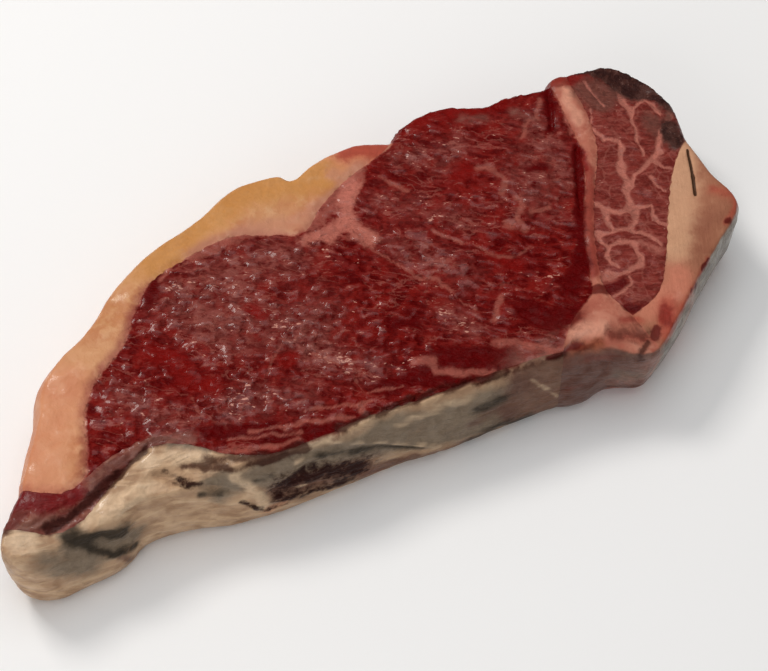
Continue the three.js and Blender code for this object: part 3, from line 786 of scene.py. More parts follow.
@dataclass
class TissuePlan:
    """Where each tissue lies, seen from above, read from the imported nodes. Sizes are in millimetres.

    Args:
        nodes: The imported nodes.
        cell: The spacing of the places where the depths are worked out once.
        margin: How far these places reach past the steak.
    """

    nodes: dict[str, bpy.types.Object]
    cell: float = 0.6
    margin: float = 4.0
    outlines: dict[Tissue, FootOutline] = field(init=False)
    corner: np.ndarray = field(init=False)
    grids: dict[Tissue, np.ndarray] = field(init=False)

    def __post_init__(self) -> None:
        """Reads every tissue's outline and works out the depths on a grid."""
        self.outlines = {tissue: FootOutline(self.nodes[tissue.value]) for tissue in Tissue}
        everything = np.vstack([outline.ring for outline in self.outlines.values()])
        self.corner = everything.min(axis=0) - self.margin
        spans = everything.max(axis=0) + self.margin - self.corner
        columns, rows = (int(span / self.cell) + 2 for span in spans)
        across, along = np.meshgrid(np.arange(columns), np.arange(rows), indexing="ij")
        places = self.corner + self.cell * np.stack([across.ravel(), along.ravel()], axis=1)
        away = {tissue: outline.away(places) for tissue, outline in self.outlines.items()}
        self.grids = {}
        for tissue in Tissue:
            others = np.min([away[other] for other in Tissue if other is not tissue], axis=0)
            self.grids[tissue] = (others - away[tissue]).reshape(columns, rows)

    def depth(self, tissue: Tissue, places: np.ndarray) -> np.ndarray:
        """Measures how deep places lie in a tissue.

        Args:
            tissue: The tissue.
            places: Places in millimetres, of which the first two numbers count.

        Returns:
            The distance of each place to the tissue's border with the others, negative outside the tissue.
        """
        grid = self.grids[tissue]
        steps = (places[:, :2] - self.corner) / self.cell
        low = np.clip(steps.astype(int), 0, np.array(grid.shape) - 2)
        share = np.clip(steps - low, 0, 1)
        column, row = low.T
        near = grid[column, row] * (1 - share[:, 0]) + grid[column + 1, row] * share[:, 0]
        far = grid[column, row + 1] * (1 - share[:, 0]) + grid[column + 1, row + 1] * share[:, 0]
        return near * (1 - share[:, 1]) + far * share[:, 1]


@dataclass
class Skin:
    """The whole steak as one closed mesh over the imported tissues.

    Args:
        nodes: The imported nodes.
        grow: How far each tissue swells, so that the gaps between them close, in millimetres.
        voxel: The size of the mesh's faces.
        smoothing: Rounds of smoothing, which take the flat facets away.
    """

    nodes: dict[str, bpy.types.Object]
    grow: float = 0.32
    voxel: float = 0.53
    smoothing: int = 9

    def build(self) -> bpy.types.Object:
        """Swells, joins, remeshes and smooths the tissues.

        Returns:
            The skin, as an object with no modifiers.
        """
        shape = bmesh.new()
        for tissue in Tissue:
            shape.from_mesh(self.nodes[tissue.value].data)
        bmesh.ops.remove_doubles(shape, verts=shape.verts, dist=SAME_POINT)
        shape.normal_update()
        for vert in shape.verts:
            vert.co += vert.normal * self.grow * MM
        mesh = bpy.data.meshes.new("skin")
        shape.to_mesh(mesh)
        shape.free()
        skin = placed("skin", mesh)
        remesh = skin.modifiers.new("voxels", "REMESH")
        remesh.mode = "VOXEL"
        remesh.voxel_size = 1.0 * self.voxel * MM
        soften = skin.modifiers.new("soften", "SMOOTH")
        soften.factor = 0.5
        soften.iterations = self.smoothing
        settle(skin)
        return skin


def placed(name: str, data: bpy.types.ID) -> bpy.types.Object:
    """Makes an object and puts it in the scene.

    Args:
        name: Its name.
        data: Its mesh, camera or light.

    Returns:
        The object, at the origin.
    """
    made = bpy.data.objects.new(name, data)
    bpy.context.scene.collection.objects.link(made)
    return made


def settle(piece: bpy.types.Object) -> None:
    """Makes what an object's modifiers give its own mesh, and takes the modifiers away.

    Args:
        piece: The object.
    """
    view = bpy.context.evaluated_depsgraph_get()
    mesh = bpy.data.meshes.new_from_object(piece.evaluated_get(view))
    piece.modifiers.clear()
    old, piece.data = piece.data, mesh
    mesh.name = piece.name
    bpy.data.meshes.remove(old)


def triples(items: bpy.types.bpy_prop_collection, name: str, kind: type = np.float32) -> np.ndarray:
    """Reads a property of three numbers from all items of a mesh.

    Args:
        items: The vertices, normals or triangles.
        name: The property.
        kind: The type of its numbers.

    Returns:
        One row for each item.
    """
    flat = np.empty(3 * len(items), dtype=kind)
    items.foreach_get(name, flat)
    return flat.reshape(-1, 3)


def places_of(mesh: bpy.types.Mesh) -> np.ndarray:
    """The vertices of a mesh, in millimetres."""
    return triples(mesh.vertices, "co") / MM


def normals_of(mesh: bpy.types.Mesh) -> np.ndarray:
    """The normals at the vertices of a mesh."""
    return triples(mesh.vertex_normals, "vector")


def corners_of(mesh: bpy.types.Mesh) -> np.ndarray:
    """The three vertex numbers of each triangle of a mesh."""
    mesh.calc_loop_triangles()
    return triples(mesh.loop_triangles, "vertices", np.int32)


def loose_parts(count: int, corners: np.ndarray) -> np.ndarray:
    """Numbers the vertices by the loose part that they belong to.

    Args:
        count: The number of vertices.
        corners: The vertex numbers of each triangle.

    Returns:
        A number for each vertex, the same all over one part.
    """
    labels = np.arange(count)
    while True:
        lowest = labels[corners].min(axis=1)
        joined = labels.copy()
        for corner in corners.T:
            np.minimum.at(joined, corner, lowest)
            np.minimum.at(joined, labels[corner], lowest)
        joined = joined[joined]
        if np.array_equal(joined, labels):
            return labels
        labels = joined


def move_to(mesh: bpy.types.Mesh, places: np.ndarray) -> None:
    """Moves the vertices of a mesh to places in millimetres."""
    mesh.vertices.foreach_set("co", (places * MM).astype(np.float32).ravel())
    mesh.update()


def write_masks(mesh: bpy.types.Mesh, masks: dict[str, np.ndarray]) -> None:
    """Gives a mesh one number at each vertex for each mask.

    Args:
        mesh: The mesh.
        masks: The numbers of each mask, by its name.
    """
    for name, values in masks.items():
        kept = mesh.attributes.get(name) or mesh.attributes.new(name, "FLOAT", "POINT")
        kept.data.foreach_set("value", values.astype(np.float32))


def strayed(places: np.ndarray, reach: float = 0.6) -> np.ndarray:
    """Moves places about in small waves, so that what is laid along a course has a winding edge.

    Args:
        places: Places in millimetres.
        reach: About how far they move.

    Returns:
        The moved places.
    """
    x, y, z = places.T
    waves = (
        np.sin(0.81 * x + 0.6 * y + 0.5 * z) + 0.35 * np.sin(1.9 * y - 1.3 * x + 0.9 * z + 1),
        np.sin(0.73 * y - 0.5 * x + 0.6 * z + 2) + 0.35 * np.sin(1.7 * x + 1.3 * y - 0.8 * z),
        np.sin(0.79 * z + 0.5 * x - 0.6 * y + 4) + 0.35 * np.sin(1.6 * z - 1.1 * y + 0.9 * x + 3),
    )
    return places + reach * 0.6 * np.stack(waves, axis=1)


def tone_weight(tone: Tone, places: np.ndarray) -> np.ndarray:
    """Adds up the marks of a tone.

    Args:
        tone: The tone.
        places: Places in millimetres.

    Returns:
        The weight of the tone at each place, from 0 to 1.
    """
    places = places if tone is Tone.SLIT else strayed(places)
    total = np.zeros(len(places), dtype=np.float32)
    for mark in MARKS[tone]:
        total += mark.over(places)
    return np.clip(total, 0, 1)


@dataclass
class Relief:
    """The relief of the whole steak, as a Geometry Nodes tree. Sizes and heights are in millimetres.

    Args:
        plan: Where each tissue lies.
        grain_height: How far the fibre bundles of the lean stand out.
        swell_height: The height of the wide waves of the lean.
        fat_height: The height of the waves of the fat.
        crust_height: The height of the crags of the crust.
        film_height: The height of the folds of the membrane.
        bone_height: The height of the unevenness of the bone.
        island_height: How far lean stands out of the fat lines.
        step_height: How far the fat bulges over the lean beside it.
        seed: Moves all the patterns.
    """

    plan: TissuePlan
    grain_height: float = 0.62
    swell_height: float = 0.9
    fat_height: float = 0.7
    crust_height: float = 1.3
    film_height: float = 0.9
    bone_height: float = 0.35
    island_height: float = 0.3
    step_height: float = 0.55
    seed: float = 4.0

    def masks(self, places: np.ndarray) -> dict[str, np.ndarray]:
        """Works out what the tree reads at each vertex.

        Args:
            places: The vertices in millimetres.

        Returns:
            The numbers of each mask, by its name.
        """
        depth = {tissue: self.plan.depth(tissue, places) for tissue in Tissue}
        near = {tissue: smooth(depth[tissue], -0.6, 0.6) for tissue in Tissue}
        border = np.min([np.abs(one) for one in depth.values()], axis=0)
        carved = sum(crease.over(places) for crease in CREASES)
        quiet = (tone_weight(tone, places) * 0.5 for tone in (Tone.BRIGHT, Tone.BLOOD))
        return {
            "relief_lean": near[Tissue.EYE] + near[Tissue.CHINE_MEAT] + near[Tissue.FLANK],
            "relief_fat": near[Tissue.FAT_CAP] + near[Tissue.SEAM],
            "relief_film": near[Tissue.RIB],
            "relief_bone": near[Tissue.CHINE_BONE],
            "relief_right": smooth(places[:, 0], 6, 22),
            "relief_calm": np.clip(sum(quiet) + near[Tissue.CHINE_MEAT] * 0.5, 0, 0.8),
            "relief_plump": smooth(np.maximum(depth[Tissue.FAT_CAP], depth[Tissue.SEAM]), -0.3, 2.6),
            "relief_crust": tone_weight(Tone.CRUST, places),
            "relief_lines": tone_weight(Tone.FAT_LINE, places),
            "relief_carve": carved + 0.08 * np.exp(-((border / 0.6) ** 2)),
        }

    def tree(self, coating: bpy.types.Material) -> bpy.types.NodeTree:
        """Builds the tree.

        Args:
            coating: The material that the tree sets, which each tissue's own one takes over.

        Returns:
            The Geometry Nodes tree, with one named input for each size.
        """
        tree = bpy.data.node_groups.new("meat_relief", "GeometryNodeTree")
        face = tree.interface
        face.new_socket("Geometry", in_out="INPUT", socket_type="NodeSocketGeometry")
        for name in self.sizes():
            face.new_socket(name, in_out="INPUT", socket_type="NodeSocketFloat")
        exit_socket = face.new_socket("Geometry", in_out="OUTPUT", socket_type="NodeSocketGeometry")
        graph = Graph(tree)
        given = graph.node("NodeGroupInput")
        size = {name: Socket(graph, given.outputs[name]) for name in self.sizes()}

        def mask(name: str) -> Socket:
            """Reads one of the masks."""
            inputs = {"Name": "relief_" + name}
            return graph.take(graph.node("GeometryNodeInputNamedAttribute", {"data_type": "FLOAT"}, inputs))

        def keep(geometry: Socket, name: str, value: Socket) -> Socket:
            """Keeps a value at the vertices, for the finishes to read."""
            inputs = {"Geometry": geometry, "Name": name, "Value": value}
            return graph.take(graph.node("GeometryNodeStoreNamedAttribute", {"data_type": "FLOAT"}, inputs))

        normal = graph.take(graph.node("GeometryNodeInputNormal"))
        rise = graph.take(graph.node("ShaderNodeSeparateXYZ", None, {"Vector": normal}), 2)
        place = graph.scaled(graph.take(graph.node("GeometryNodeInputPosition")), 1 / MM)
        moved_by = {axis: size["Seed"] * step for axis, step in zip("XY", SEED_SHIFT)}
        shift = graph.node("ShaderNodeCombineXYZ", None, moved_by)
        place = graph.vector("ADD", place, graph.take(shift))
        swell = graph.noise(place, 11.0, 2.0) - 0.5

        beaded = graph.stretched(graph.warped(place, 4.0, 2.6), (0, 0, -25), (1.6, 1.0, 1.0))
        stranded = graph.stretched(graph.warped(place, 7.0, 2.6), (0, 0, -52), (2.9, 1.0, 1.2))
        flowing = graph.stretched(graph.warped(place, 9.0, 4.0), (0, 0, -46), (3.4, 1.0, 1.4))
        bundles = graph.between(mask("right"), graph.cells(beaded, 1.85), graph.cells(stranded, 1.5))
        uneven = (graph.noise(place, 1.5, 2.0) - 0.5) * 0.6 + (graph.noise(place, 3.1, 1.0) - 0.5) * 0.5
        bead = graph.step(bundles + uneven, 0.72, 0.1)
        strand = graph.noise(flowing, 3.2, 3.0, 0.55)
        patchy = graph.between(graph.step(graph.noise(place, 8.0, 1.0), 0.38, 0.6), 0.3, 1.25)
        lively = patchy * (1 - mask("calm")) * (1 - mask("right") * 0.3)
        rolling = (strand - 0.5) * 1.1 + swell * 0.7
        lean = size["Grain height"] * (bead - 0.5) * lively + size["Swell height"] * rolling
        lean = lean - size["Island height"] * mask("lines")
        waxy = swell * 1.1 + (graph.noise(place, 3.4, 2.0) - 0.5) * 0.5
        fat = size["Fat height"] * waxy + size["Step height"] * mask("plump")
        crags = graph.noise(graph.warped(place, 5.0, 3.0), 3.2, 4.0, 0.65, 0.6) - 0.5
        crust = size["Crust height"] * crags
        folds = graph.noise(graph.stretched(place, (0, 14, -14), (2.8, 1.0, 1.0)), 3.6, 3.0, 0.55, 0.7) - 0.5
        film = size["Film height"] * (folds + swell * 0.7)
        saw = graph.noise(graph.stretched(place, (0, 0, 60), (6.0, 0.6, 1.0)), 1.6, 2.0) - 0.5
        bone = size["Bone height"] * (swell * 1.4 + saw * 0.3)
        height = lean * mask("lean") + fat * mask("fat") + film * mask("film") + bone * mask("bone")
        height = graph.between(mask("crust"), height, crust) - mask("carve")
        lying = graph.step(rise, -0.35, -0.8)
        height = graph.between(lying, height, graph.math("ABSOLUTE", height) * -0.7)
        dented = keep(keep(Socket(graph, given.outputs["Geometry"]), "bead", bead), "strand", strand)
        offset = graph.scaled(normal, height * MM)
        moved = graph.node("GeometryNodeSetPosition", None, {"Geometry": dented, "Offset": offset})
        real = graph.node("GeometryNodeRealizeInstances", None, {"Geometry": graph.take(moved)})
        inputs = {"Geometry": graph.take(real), "Material": coating}
        dressed = graph.node("GeometryNodeSetMaterial", None, inputs)
        graph.node("NodeGroupOutput", None, {exit_socket.identifier: graph.take(dressed)})
        return tree

    def sizes(self) -> dict[str, float]:
        """The tree's named inputs and their values."""
        names = [item.name for item in fields(self) if item.name != "plan"]
        return {name.replace("_", " ").capitalize(): getattr(self, name) for name in names}

    def shape(self, skin: bpy.types.Object, coating: bpy.types.Material, swollen: float) -> None:
        """Raises the relief on the skin.

        Args:
            skin: The whole steak.
            coating: A material for the tree to set.
            swollen: How far the skin had been swollen, which is taken back first.
        """
        places = places_of(skin.data) - swollen * normals_of(skin.data)
        places[:, 2] = np.maximum(places[:, 2], 0)
        move_to(skin.data, places)
        write_masks(skin.data, self.masks(places))
        modifier = skin.modifiers.new("relief", "NODES")
        modifier.node_group = self.tree(coating)
        for item in modifier.node_group.interface.items_tree:
            if item.in_out == "INPUT" and item.name in self.sizes():
                modifier[item.identifier] = self.sizes()[item.name]
        settle(skin)
        places = places_of(skin.data)
        places[:, 2] = np.maximum(places[:, 2], 0)
        move_to(skin.data, places)
        for name in [kept.name for kept in skin.data.attributes if kept.name.startswith("relief_")]:
            skin.data.attributes.remove(skin.data.attributes[name])


@dataclass
class Parting:
    """Cuts the skin along the borders between the tissues. Sizes are in millimetres.

    Args:
        plan: Where each tissue lies.
        touch: Two outlines closer than this share a border.
        kerf: The width of a cut, far below what can be seen.
        past_rim: How far a cut runs on where a border ends at the steak's rim.
        past_cut: How far it runs on where it ends at another border.
        reach: Ends of borders closer than this meet.
        step: The spacing of the points of a cut.
        wander: How far a cut strays from the straight sided border.
        low: The height of the lower edge of a cut.
        high: The height of its upper edge.
    """

    plan: TissuePlan
    touch: float = 0.6
    kerf: float = 0.008
    past_rim: float = 9.0
    past_cut: float = 0.8
    reach: float = 3.5
    step: float = 1.0
    wander: float = 0.3
    low: float = -8.0
    high: float = 45.0

    def borders(self) -> list[np.ndarray]:
        """Finds the line midway between each two tissues that touch.

        Returns:
            The points of each border, run on past its ends.
        """
        tissues = list(Tissue)
        lines: list[np.ndarray] = []
        for number, tissue in enumerate(tissues):
            ring = spaced(self.plan.outlines[tissue].closed(), self.step)[:-1]
            for other in tissues[number + 1 :]:
                outline = self.plan.outlines[other]
                near = distance_to_line(ring, outline.closed()) < self.touch
                for run in self.runs(near):
                    lines.append(np.array([(ring[i] + outline.nearest(ring[i])[0]) / 2 for i in run]))
        meetings = self.meetings(lines)
        return [
            self.run_on(line, [meetings.get((number, end)) for end in (0, -1)])
            for number, line in enumerate(lines)
        ]

    def meetings(self, lines: Sequence[np.ndarray]) -> dict[tuple[int, int], np.ndarray]:
        """Finds where three borders meet.

        Args:
            lines: The borders.

        Returns:
            The meeting place for each end of a border that has one, by the number of the border and of its
            end, 0 or -1.
        """
        ends = [(number, end, line[end]) for number, line in enumerate(lines) for end in (0, -1)]
        found: dict[tuple[int, int], np.ndarray] = {}
        for number, end, point in ends:
            nearest: dict[int, tuple[float, np.ndarray]] = {}
            for other, _, place in ends:
                gap = float(np.linalg.norm(place - point))
                if other != number and gap < nearest.get(other, (self.reach,))[0]:
                    nearest[other] = (gap, place)
            if len(nearest) < 2:
                continue
            centre = np.mean([point, *(place for _, place in nearest.values())], axis=0)
            if np.linalg.norm(lines[number][-1 - end] - centre) > np.linalg.norm(point - centre):
                found[(number, end)] = centre
        return found

    @staticmethod
    def runs(near: np.ndarray) -> list[list[int]]:
        """Gathers the neighbouring points of a ring that are near.

        Args:
            near: Whether each point of the ring is near.

        Returns:
            Lists of point numbers in order, of two points or more.
        """
        if not near.any():
            return []
        if near.all():
            return [list(range(len(near)))]
        start = int(np.argmin(near))
        found: list[list[int]] = [[]]
        for step in range(len(near)):
            index = (start + step) % len(near)
            if near[index]:
                found[-1].append(index)
            elif found[-1]:
                found.append([])
        return [run for run in found if len(run) > 1]

    def run_on(self, line: np.ndarray, centres: Sequence[np.ndarray | None]) -> np.ndarray:
        """Runs a border on at both ends, and makes it wander a little.

        Args:
            line: The border's points.
            centres: Where it meets other borders, at its start and at its end, or None at the steak's rim.

        Returns:
            The points of the cut.
        """
        cut = spaced(line, self.step)
        ahead = headings(cut)
        aside = ahead[:, ::-1] * (1, -1)
        sway = np.sin(cut[:, 0] * 1.9 + 0.8 * cut[:, 1]) + 0.7 * np.sin(cut[:, 1] * 3.1 - cut[:, 0])
        cut += aside * (self.wander * 0.6 * sway * np.sin(np.linspace(0, math.pi, len(cut))))[:, None]
        ends = []
        for point, way, centre in zip((cut[0], cut[-1]), (-ahead[0], ahead[-1]), centres):
            if centre is None:
                ends.append([point + way * self.past_rim])
            else:
                onward = centre - point + way * 0.2
                ends.append([centre, centre + onward / np.linalg.norm(onward) * self.past_cut])
        return np.vstack((ends[0][::-1], cut, ends[1]))

    def blade(self, line: np.ndarray, number: int) -> bpy.types.Object:
        """Makes a thin upright blade along a border.

        Args:
            line: The points of the cut.
            number: The number of the cut, for the blade's name.

        Returns:
            The blade, as a closed solid.
        """
        aside = headings(line)[:, ::-1] * (self.kerf / 2, -self.kerf / 2)
        rim = ((1, self.low), (1, self.high), (-1, self.high), (-1, self.low))
        rings = [[(*(point + way * side), z) for way, z in rim] for point, side in zip(line, aside)]
        verts = [tuple(MM * value for value in corner) for ring in rings for corner in ring]
        faces = [(3, 2, 1, 0)]
        for step in range(len(rings) - 1):
            at = 4 * step
            faces += [(at + k, at + (k + 1) % 4, at + 4 + (k + 1) % 4, at + 4 + k) for k in range(4)]
        last = 4 * (len(rings) - 1)
        faces.append((last, last + 1, last + 2, last + 3))
        mesh = bpy.data.meshes.new(f"blade_{number}")
        mesh.from_pydata(verts, [], faces)
        shape = bmesh.new()
        shape.from_mesh(mesh)
        bmesh.ops.recalc_face_normals(shape, faces=shape.faces)
        shape.to_mesh(mesh)
        shape.free()
        return placed(mesh.name, mesh)

    def cut(self, skin: bpy.types.Object) -> dict[Tissue, bpy.types.Object]:
        """Parts the skin into one closed piece for each tissue.

        Args:
            skin: The whole steak, which is used up.

        Returns:
            The piece of each tissue.
        """
        for number, line in enumerate(self.borders()):
            blade = self.blade(line, number)
            before = len(skin.data.vertices)
            knife = skin.modifiers.new("knife", "BOOLEAN")
            knife.operation = "DIFFERENCE"
            knife.solver = "MANIFOLD"
            knife.object = blade
            settle(skin)
            bpy.data.objects.remove(blade)
            log.info("cut %d added %d vertices", number, len(skin.data.vertices) - before)
        return self.sorted_pieces(skin)

    def sorted_pieces(self, skin: bpy.types.Object) -> dict[Tissue, bpy.types.Object]:
        """Separates what the cuts have parted, and finds which tissue each piece is.

        Args:
            skin: The skin after all cuts, which is used up.

        Returns:
            The piece of each tissue.
        """
        places = places_of(skin.data)
        corners = corners_of(skin.data)
        labels = loose_parts(len(places), corners)
        found: dict[Tissue, bpy.types.Object] = {}
        for label in sorted(np.unique(labels), key=lambda one: -np.count_nonzero(labels == one)):
            inside = labels == label
            own = places[inside]
            tissue = max(Tissue, key=lambda candidate: float(np.mean(self.plan.depth(candidate, own) > 0)))
            if tissue in found:
                log.warning("left out a scrap of %s with %d vertices", tissue.value, len(own))
                continue
            numbers = np.cumsum(inside) - 1
            mesh = bpy.data.meshes.new(tissue.value + "_piece")
            mesh.from_pydata(own * MM, [], numbers[corners[inside[corners[:, 0]]]])
            for kept in skin.data.attributes:
                if kept.name in KEPT_MASKS:
                    values = np.empty(len(places), dtype=np.float32)
                    kept.data.foreach_get("value", values)
                    write_masks(mesh, {kept.name: values[inside]})
            found[tissue] = placed(mesh.name, mesh)
        bpy.data.objects.remove(skin)
        return found


def shaded(colour: Colour, factor: float) -> Colour:
    """A colour made lighter or darker."""
    return (*(min(1.0, part * factor) for part in colour[:3]), 1.0)


@dataclass
class Paint:
    """What a look gives the surface: colour, roughness, wetness and fine relief in millimetres."""

    colour: Socket
    roughness: Socket
    wet: Socket
    height: Socket

    def under(self, graph: Graph, share: Socket, other: "Paint") -> "Paint":
        """Lays another paint over this one, by share."""
        return Paint(
            graph.blend(share, self.colour, other.colour),
            graph.between(share, self.roughness, other.roughness),
            graph.between(share, self.wet, other.wet),
            graph.between(share, self.height, other.height),
        )


class Clouds:
    """The patterns that the looks of one material share, so that each is worked out once.

    Args:
        graph: The material's nodes.
        place: The place on the steak in millimetres.
    """

    def __init__(self, graph: Graph, place: Socket) -> None:
        """Adds the nodes of the patterns."""
        self.graph = graph
        self.place = place
        self.wide = graph.noise(place, 11.0, 2.0)
        self.broad = graph.noise(place, 5.0, 2.0, 0.55, 0.3)
        self.middle = graph.noise(place, 1.9, 3.0, 0.6, 0.4)
        self.fine = graph.noise(place, 0.6, 2.0, 0.6)
        self.folds = graph.noise(graph.stretched(place, (0, 14, -14), (2.8, 1.0, 1.0)), 3.2, 2.0, 0.5, 0.9)

    def mask(self, name: str) -> Socket:
        """Reads one of the masks that the piece carries."""
        return self.graph.take(self.graph.node("ShaderNodeAttribute", {"attribute_name": name}), 2)

    def sway(self, **shares: float) -> Socket:
        """Adds up the named patterns, each brought down to swing about 0 and taken by its share."""
        parts = [(getattr(self, name) - 0.5) * share for name, share in shares.items()]
        return sum(parts[1:], parts[0])


@dataclass(frozen=True)
class Look:
    """How one kind of tissue looks by itself."""

    def paint(self, clouds: Clouds) -> Paint:
        """Builds the paint.

        Args:
            clouds: The patterns of the material.

        Returns:
            The paint.
        """
        raise NotImplementedError


@dataclass(frozen=True)
class LeanLook(Look):
    """Wet dark red lean: smooth hollows, and beads and strands with a painted mauve sheen, flecks and
    painted glints.
    """

    deep: Colour = linear(80, 0, 1)
    body: Colour = linear(112, 17, 13)
    flush: Colour = linear(130, 26, 20)
    # The colour of the painted sheen, a mauve reflection.
    veil: Colour = linear(134, 70, 62)
    fleck: Colour = linear(160, 92, 80)
    # The colour of the painted glints.
    glint: Colour = linear(214, 154, 136)
    # The share of painted sheen outside the sheen zones.
    veiled: float = 0.13
    flecked: float = 0.4
    veined: float = 0.0
    wetness: float = 0.36

    def paint(self, clouds: Clouds) -> Paint:
        """Builds the paint.

        Args:
            clouds: The patterns of the material.

        Returns:
            The paint.
        """
        graph = clouds.graph
        bead = clouds.mask("bead")
        strand = clouds.mask("strand")
        sheen = clouds.mask(Tone.SHEEN.value)
        shining = clouds.mask(Tone.GLINT.value)
        along = graph.stretched(clouds.place, (0, 0, -38), (2.3, 1.0, 1.0))
        grains = graph.noise(along, 1.2, 3.0, 0.6, 0.4)
        ripples = graph.noise(along, 1.9, 2.0, 0.5, 0.9)
        rippled = (grains - 0.5) * 1.2 + (ripples - 0.5) * 1.3
        ragged = bead * 0.45 + rippled + clouds.sway(middle=0.7) + 0.27
        colour = graph.blend(graph.step(ragged, 0.1, 0.8), self.deep, self.body)
        colour = graph.blend(graph.step(clouds.broad, 0.46, 0.66) * 0.6, colour, self.flush)
        # Painted sheen: a mauve reflection, broad over the sheen zones and stronger on the beads.
        broad_sheen = sheen * graph.step(clouds.middle, 0.25, 0.6) * 0.5
        colour = graph.blend(broad_sheen, colour, shaded(self.veil, 0.85))
        sheened = graph.step(ragged + clouds.sway(wide=1.3) + sheen * 0.3, 0.6, 1.2)
        colour = graph.blend(sheened * (sheen * 0.6 + shining * 0.35 + self.veiled), colour, self.veil)
        if self.veined:
            fibrous = graph.stretched(clouds.place, (0, 0, -30), (3.0, 1.0, 1.0))
            fibres = graph.noise(fibrous, 1.1, 2.0, 0.6)
            colour = graph.blend(graph.step(fibres, 0.5, 0.66) * self.veined, colour, self.fleck)
            meshes = graph.cells(graph.warped(clouds.place, 3.0, 2.4), 4.6, "DISTANCE_TO_EDGE")
            thin = graph.step(meshes + clouds.sway(middle=0.08), 0.075, 0.02)
            thin = thin * graph.step(clouds.broad, 0.3, 0.6)
            colour = graph.blend(thin * self.veined * 1.2, colour, self.fleck)
        threads = graph.math("ABSOLUTE", strand - 0.5)
        thread = graph.step(threads + clouds.sway(fine=0.03), 0.026, 0.006)
        thread = thread * graph.step(clouds.wide, 0.45, 0.6)
        across = graph.stretched(clouds.place, (0, 0, -24), (3.0, 1.0, 1.0))
        flecks = graph.noise(across, 0.95, 2.0, 0.6, 0.5)
        fleck = graph.step(flecks + clouds.sway(broad=0.3) + (bead - 0.5) * 0.1, 0.62, 0.7)
        fleck = graph.math("MAXIMUM", fleck, thread * 0.8)
        colour = graph.blend(fleck * self.flecked, colour, self.fleck)
        # Painted glints: small spots of reflected light, most in the glint and sheen zones.
        specks = graph.noise(along, 0.8, 2.0, 0.55, 0.4)
        often = shining * 0.12 + sheen * 0.035 + clouds.sway(broad=0.22)
        glint = graph.step(specks + often + (bead - 0.5) * 0.1, 0.71, 0.8)
        colour = graph.blend(glint * 0.75, colour, self.glint)
        rough = graph.between(clouds.middle, 0.3, 0.55)
        dripping = bead + clouds.sway(middle=0.8) + (sheen + shining) * 0.25
        wet = graph.step(dripping, 0.35, 1.0) * self.wetness
        height = (ripples - 0.5) * 0.95 + clouds.sway(middle=0.35) + (grains - 0.5) * 0.35
        return Paint(colour, rough, wet, height)


@dataclass(frozen=True)
class FatLook(Look):
    """Smooth waxy fat with soft clouds of its own colours, and lighter patches that are in part painted
    highlights.
    """

    base: Colour = linear(204, 148, 106)
    shade: Colour = linear(188, 124, 84)
    # Lighter waxy patches, in part painted highlights.
    light: Colour = linear(222, 172, 130)
    wetness: float = 0.25

    def paint(self, clouds: Clouds) -> Paint:
        """Builds the paint.

        Args:
            clouds: The patterns of the material.

        Returns:
            The paint.
        """
        graph = clouds.graph
        mottled = clouds.wide + clouds.sway(middle=0.25)
        colour = graph.blend(graph.step(mottled, 0.34, 0.66), self.shade, self.base)
        # Lighter waxy patches, in part painted highlights.
        waxy = clouds.broad + clouds.sway(middle=0.3)
        colour = graph.blend(graph.step(waxy, 0.48, 0.76) * 0.7, colour, self.light)
        colour = graph.blend(graph.step(clouds.middle, 0.5, 0.8) * 0.25, colour, self.shade)
        rough = graph.between(clouds.middle, 0.34, 0.52)
        wet = graph.step(clouds.broad, 0.5, 0.7) * self.wetness
        height = clouds.sway(broad=0.4, middle=0.22, fine=0.05)
        return Paint(colour, rough, wet, height)


@dataclass(frozen=True)
class FilmLook(Look):
    """Dried membrane and silverskin, in long soft folds."""

    base: Colour = linear(197, 162, 128)
    shade: Colour = linear(164, 130, 102)
    light: Colour = linear(218, 186, 152)
    wetness: float = 0.4

    def paint(self, clouds: Clouds) -> Paint:
        """Builds the paint.

        Args:
            clouds: The patterns of the material.

        Returns:
            The paint.
        """
        graph = clouds.graph
        mixed = clouds.broad * 0.5 + clouds.folds * 0.5 + clouds.sway(fine=0.06)
        colour = graph.blend(graph.step(mixed, 0.34, 0.62), self.shade, self.base)
        colour = graph.blend(graph.step(clouds.folds, 0.5, 0.74) * 0.55, colour, self.light)
        colour = graph.blend(graph.step(clouds.middle, 0.58, 0.76) * 0.35, colour, self.shade)
        rough = graph.between(clouds.folds, 0.28, 0.5)
        wet = graph.step(clouds.broad, 0.35, 0.65) * self.wetness
        height = clouds.sway(folds=0.9, middle=0.35, fine=0.03)
        return Paint(colour, rough, wet, height)


@dataclass(frozen=True)
class BoneLook(Look):
    """Sawn bone: cream to tan and pink, with faint saw lines and pores."""

    base: Colour = linear(158, 102, 77)
    light: Colour = linear(180, 126, 97)
    shade: Colour = linear(136, 80, 60)

    def paint(self, clouds: Clouds) -> Paint:
        """Builds the paint.

        Args:
            clouds: The patterns of the material.

        Returns:
            The paint.
        """
        graph = clouds.graph
        sawn = graph.noise(graph.stretched(clouds.place, (0, 0, 60), (8.0, 0.7, 1.0)), 1.2, 2.0)
        mottled = clouds.wide + clouds.sway(middle=0.3)
        colour = graph.blend(graph.step(mottled, 0.36, 0.6) * 0.6 + 0.4, self.shade, self.base)
        colour = graph.blend(graph.step(clouds.broad, 0.5, 0.7) * 0.5, colour, self.light)
        colour = graph.blend(graph.step(clouds.middle, 0.6, 0.74) * 0.35, colour, self.shade)
        pore = graph.step(clouds.fine + clouds.sway(middle=0.4), 0.72, 0.8)
        colour = graph.blend(pore * 0.2, colour, shaded(self.shade, 0.5))
        rough = graph.between(clouds.middle, 0.4, 0.6)
        wet = graph.step(clouds.broad, 0.55, 0.75) * 0.25
        height = (sawn - 0.5) * 0.14 + clouds.sway(middle=0.22, fine=0.06) - pore * 0.1
        return Paint(colour, rough, wet, height)


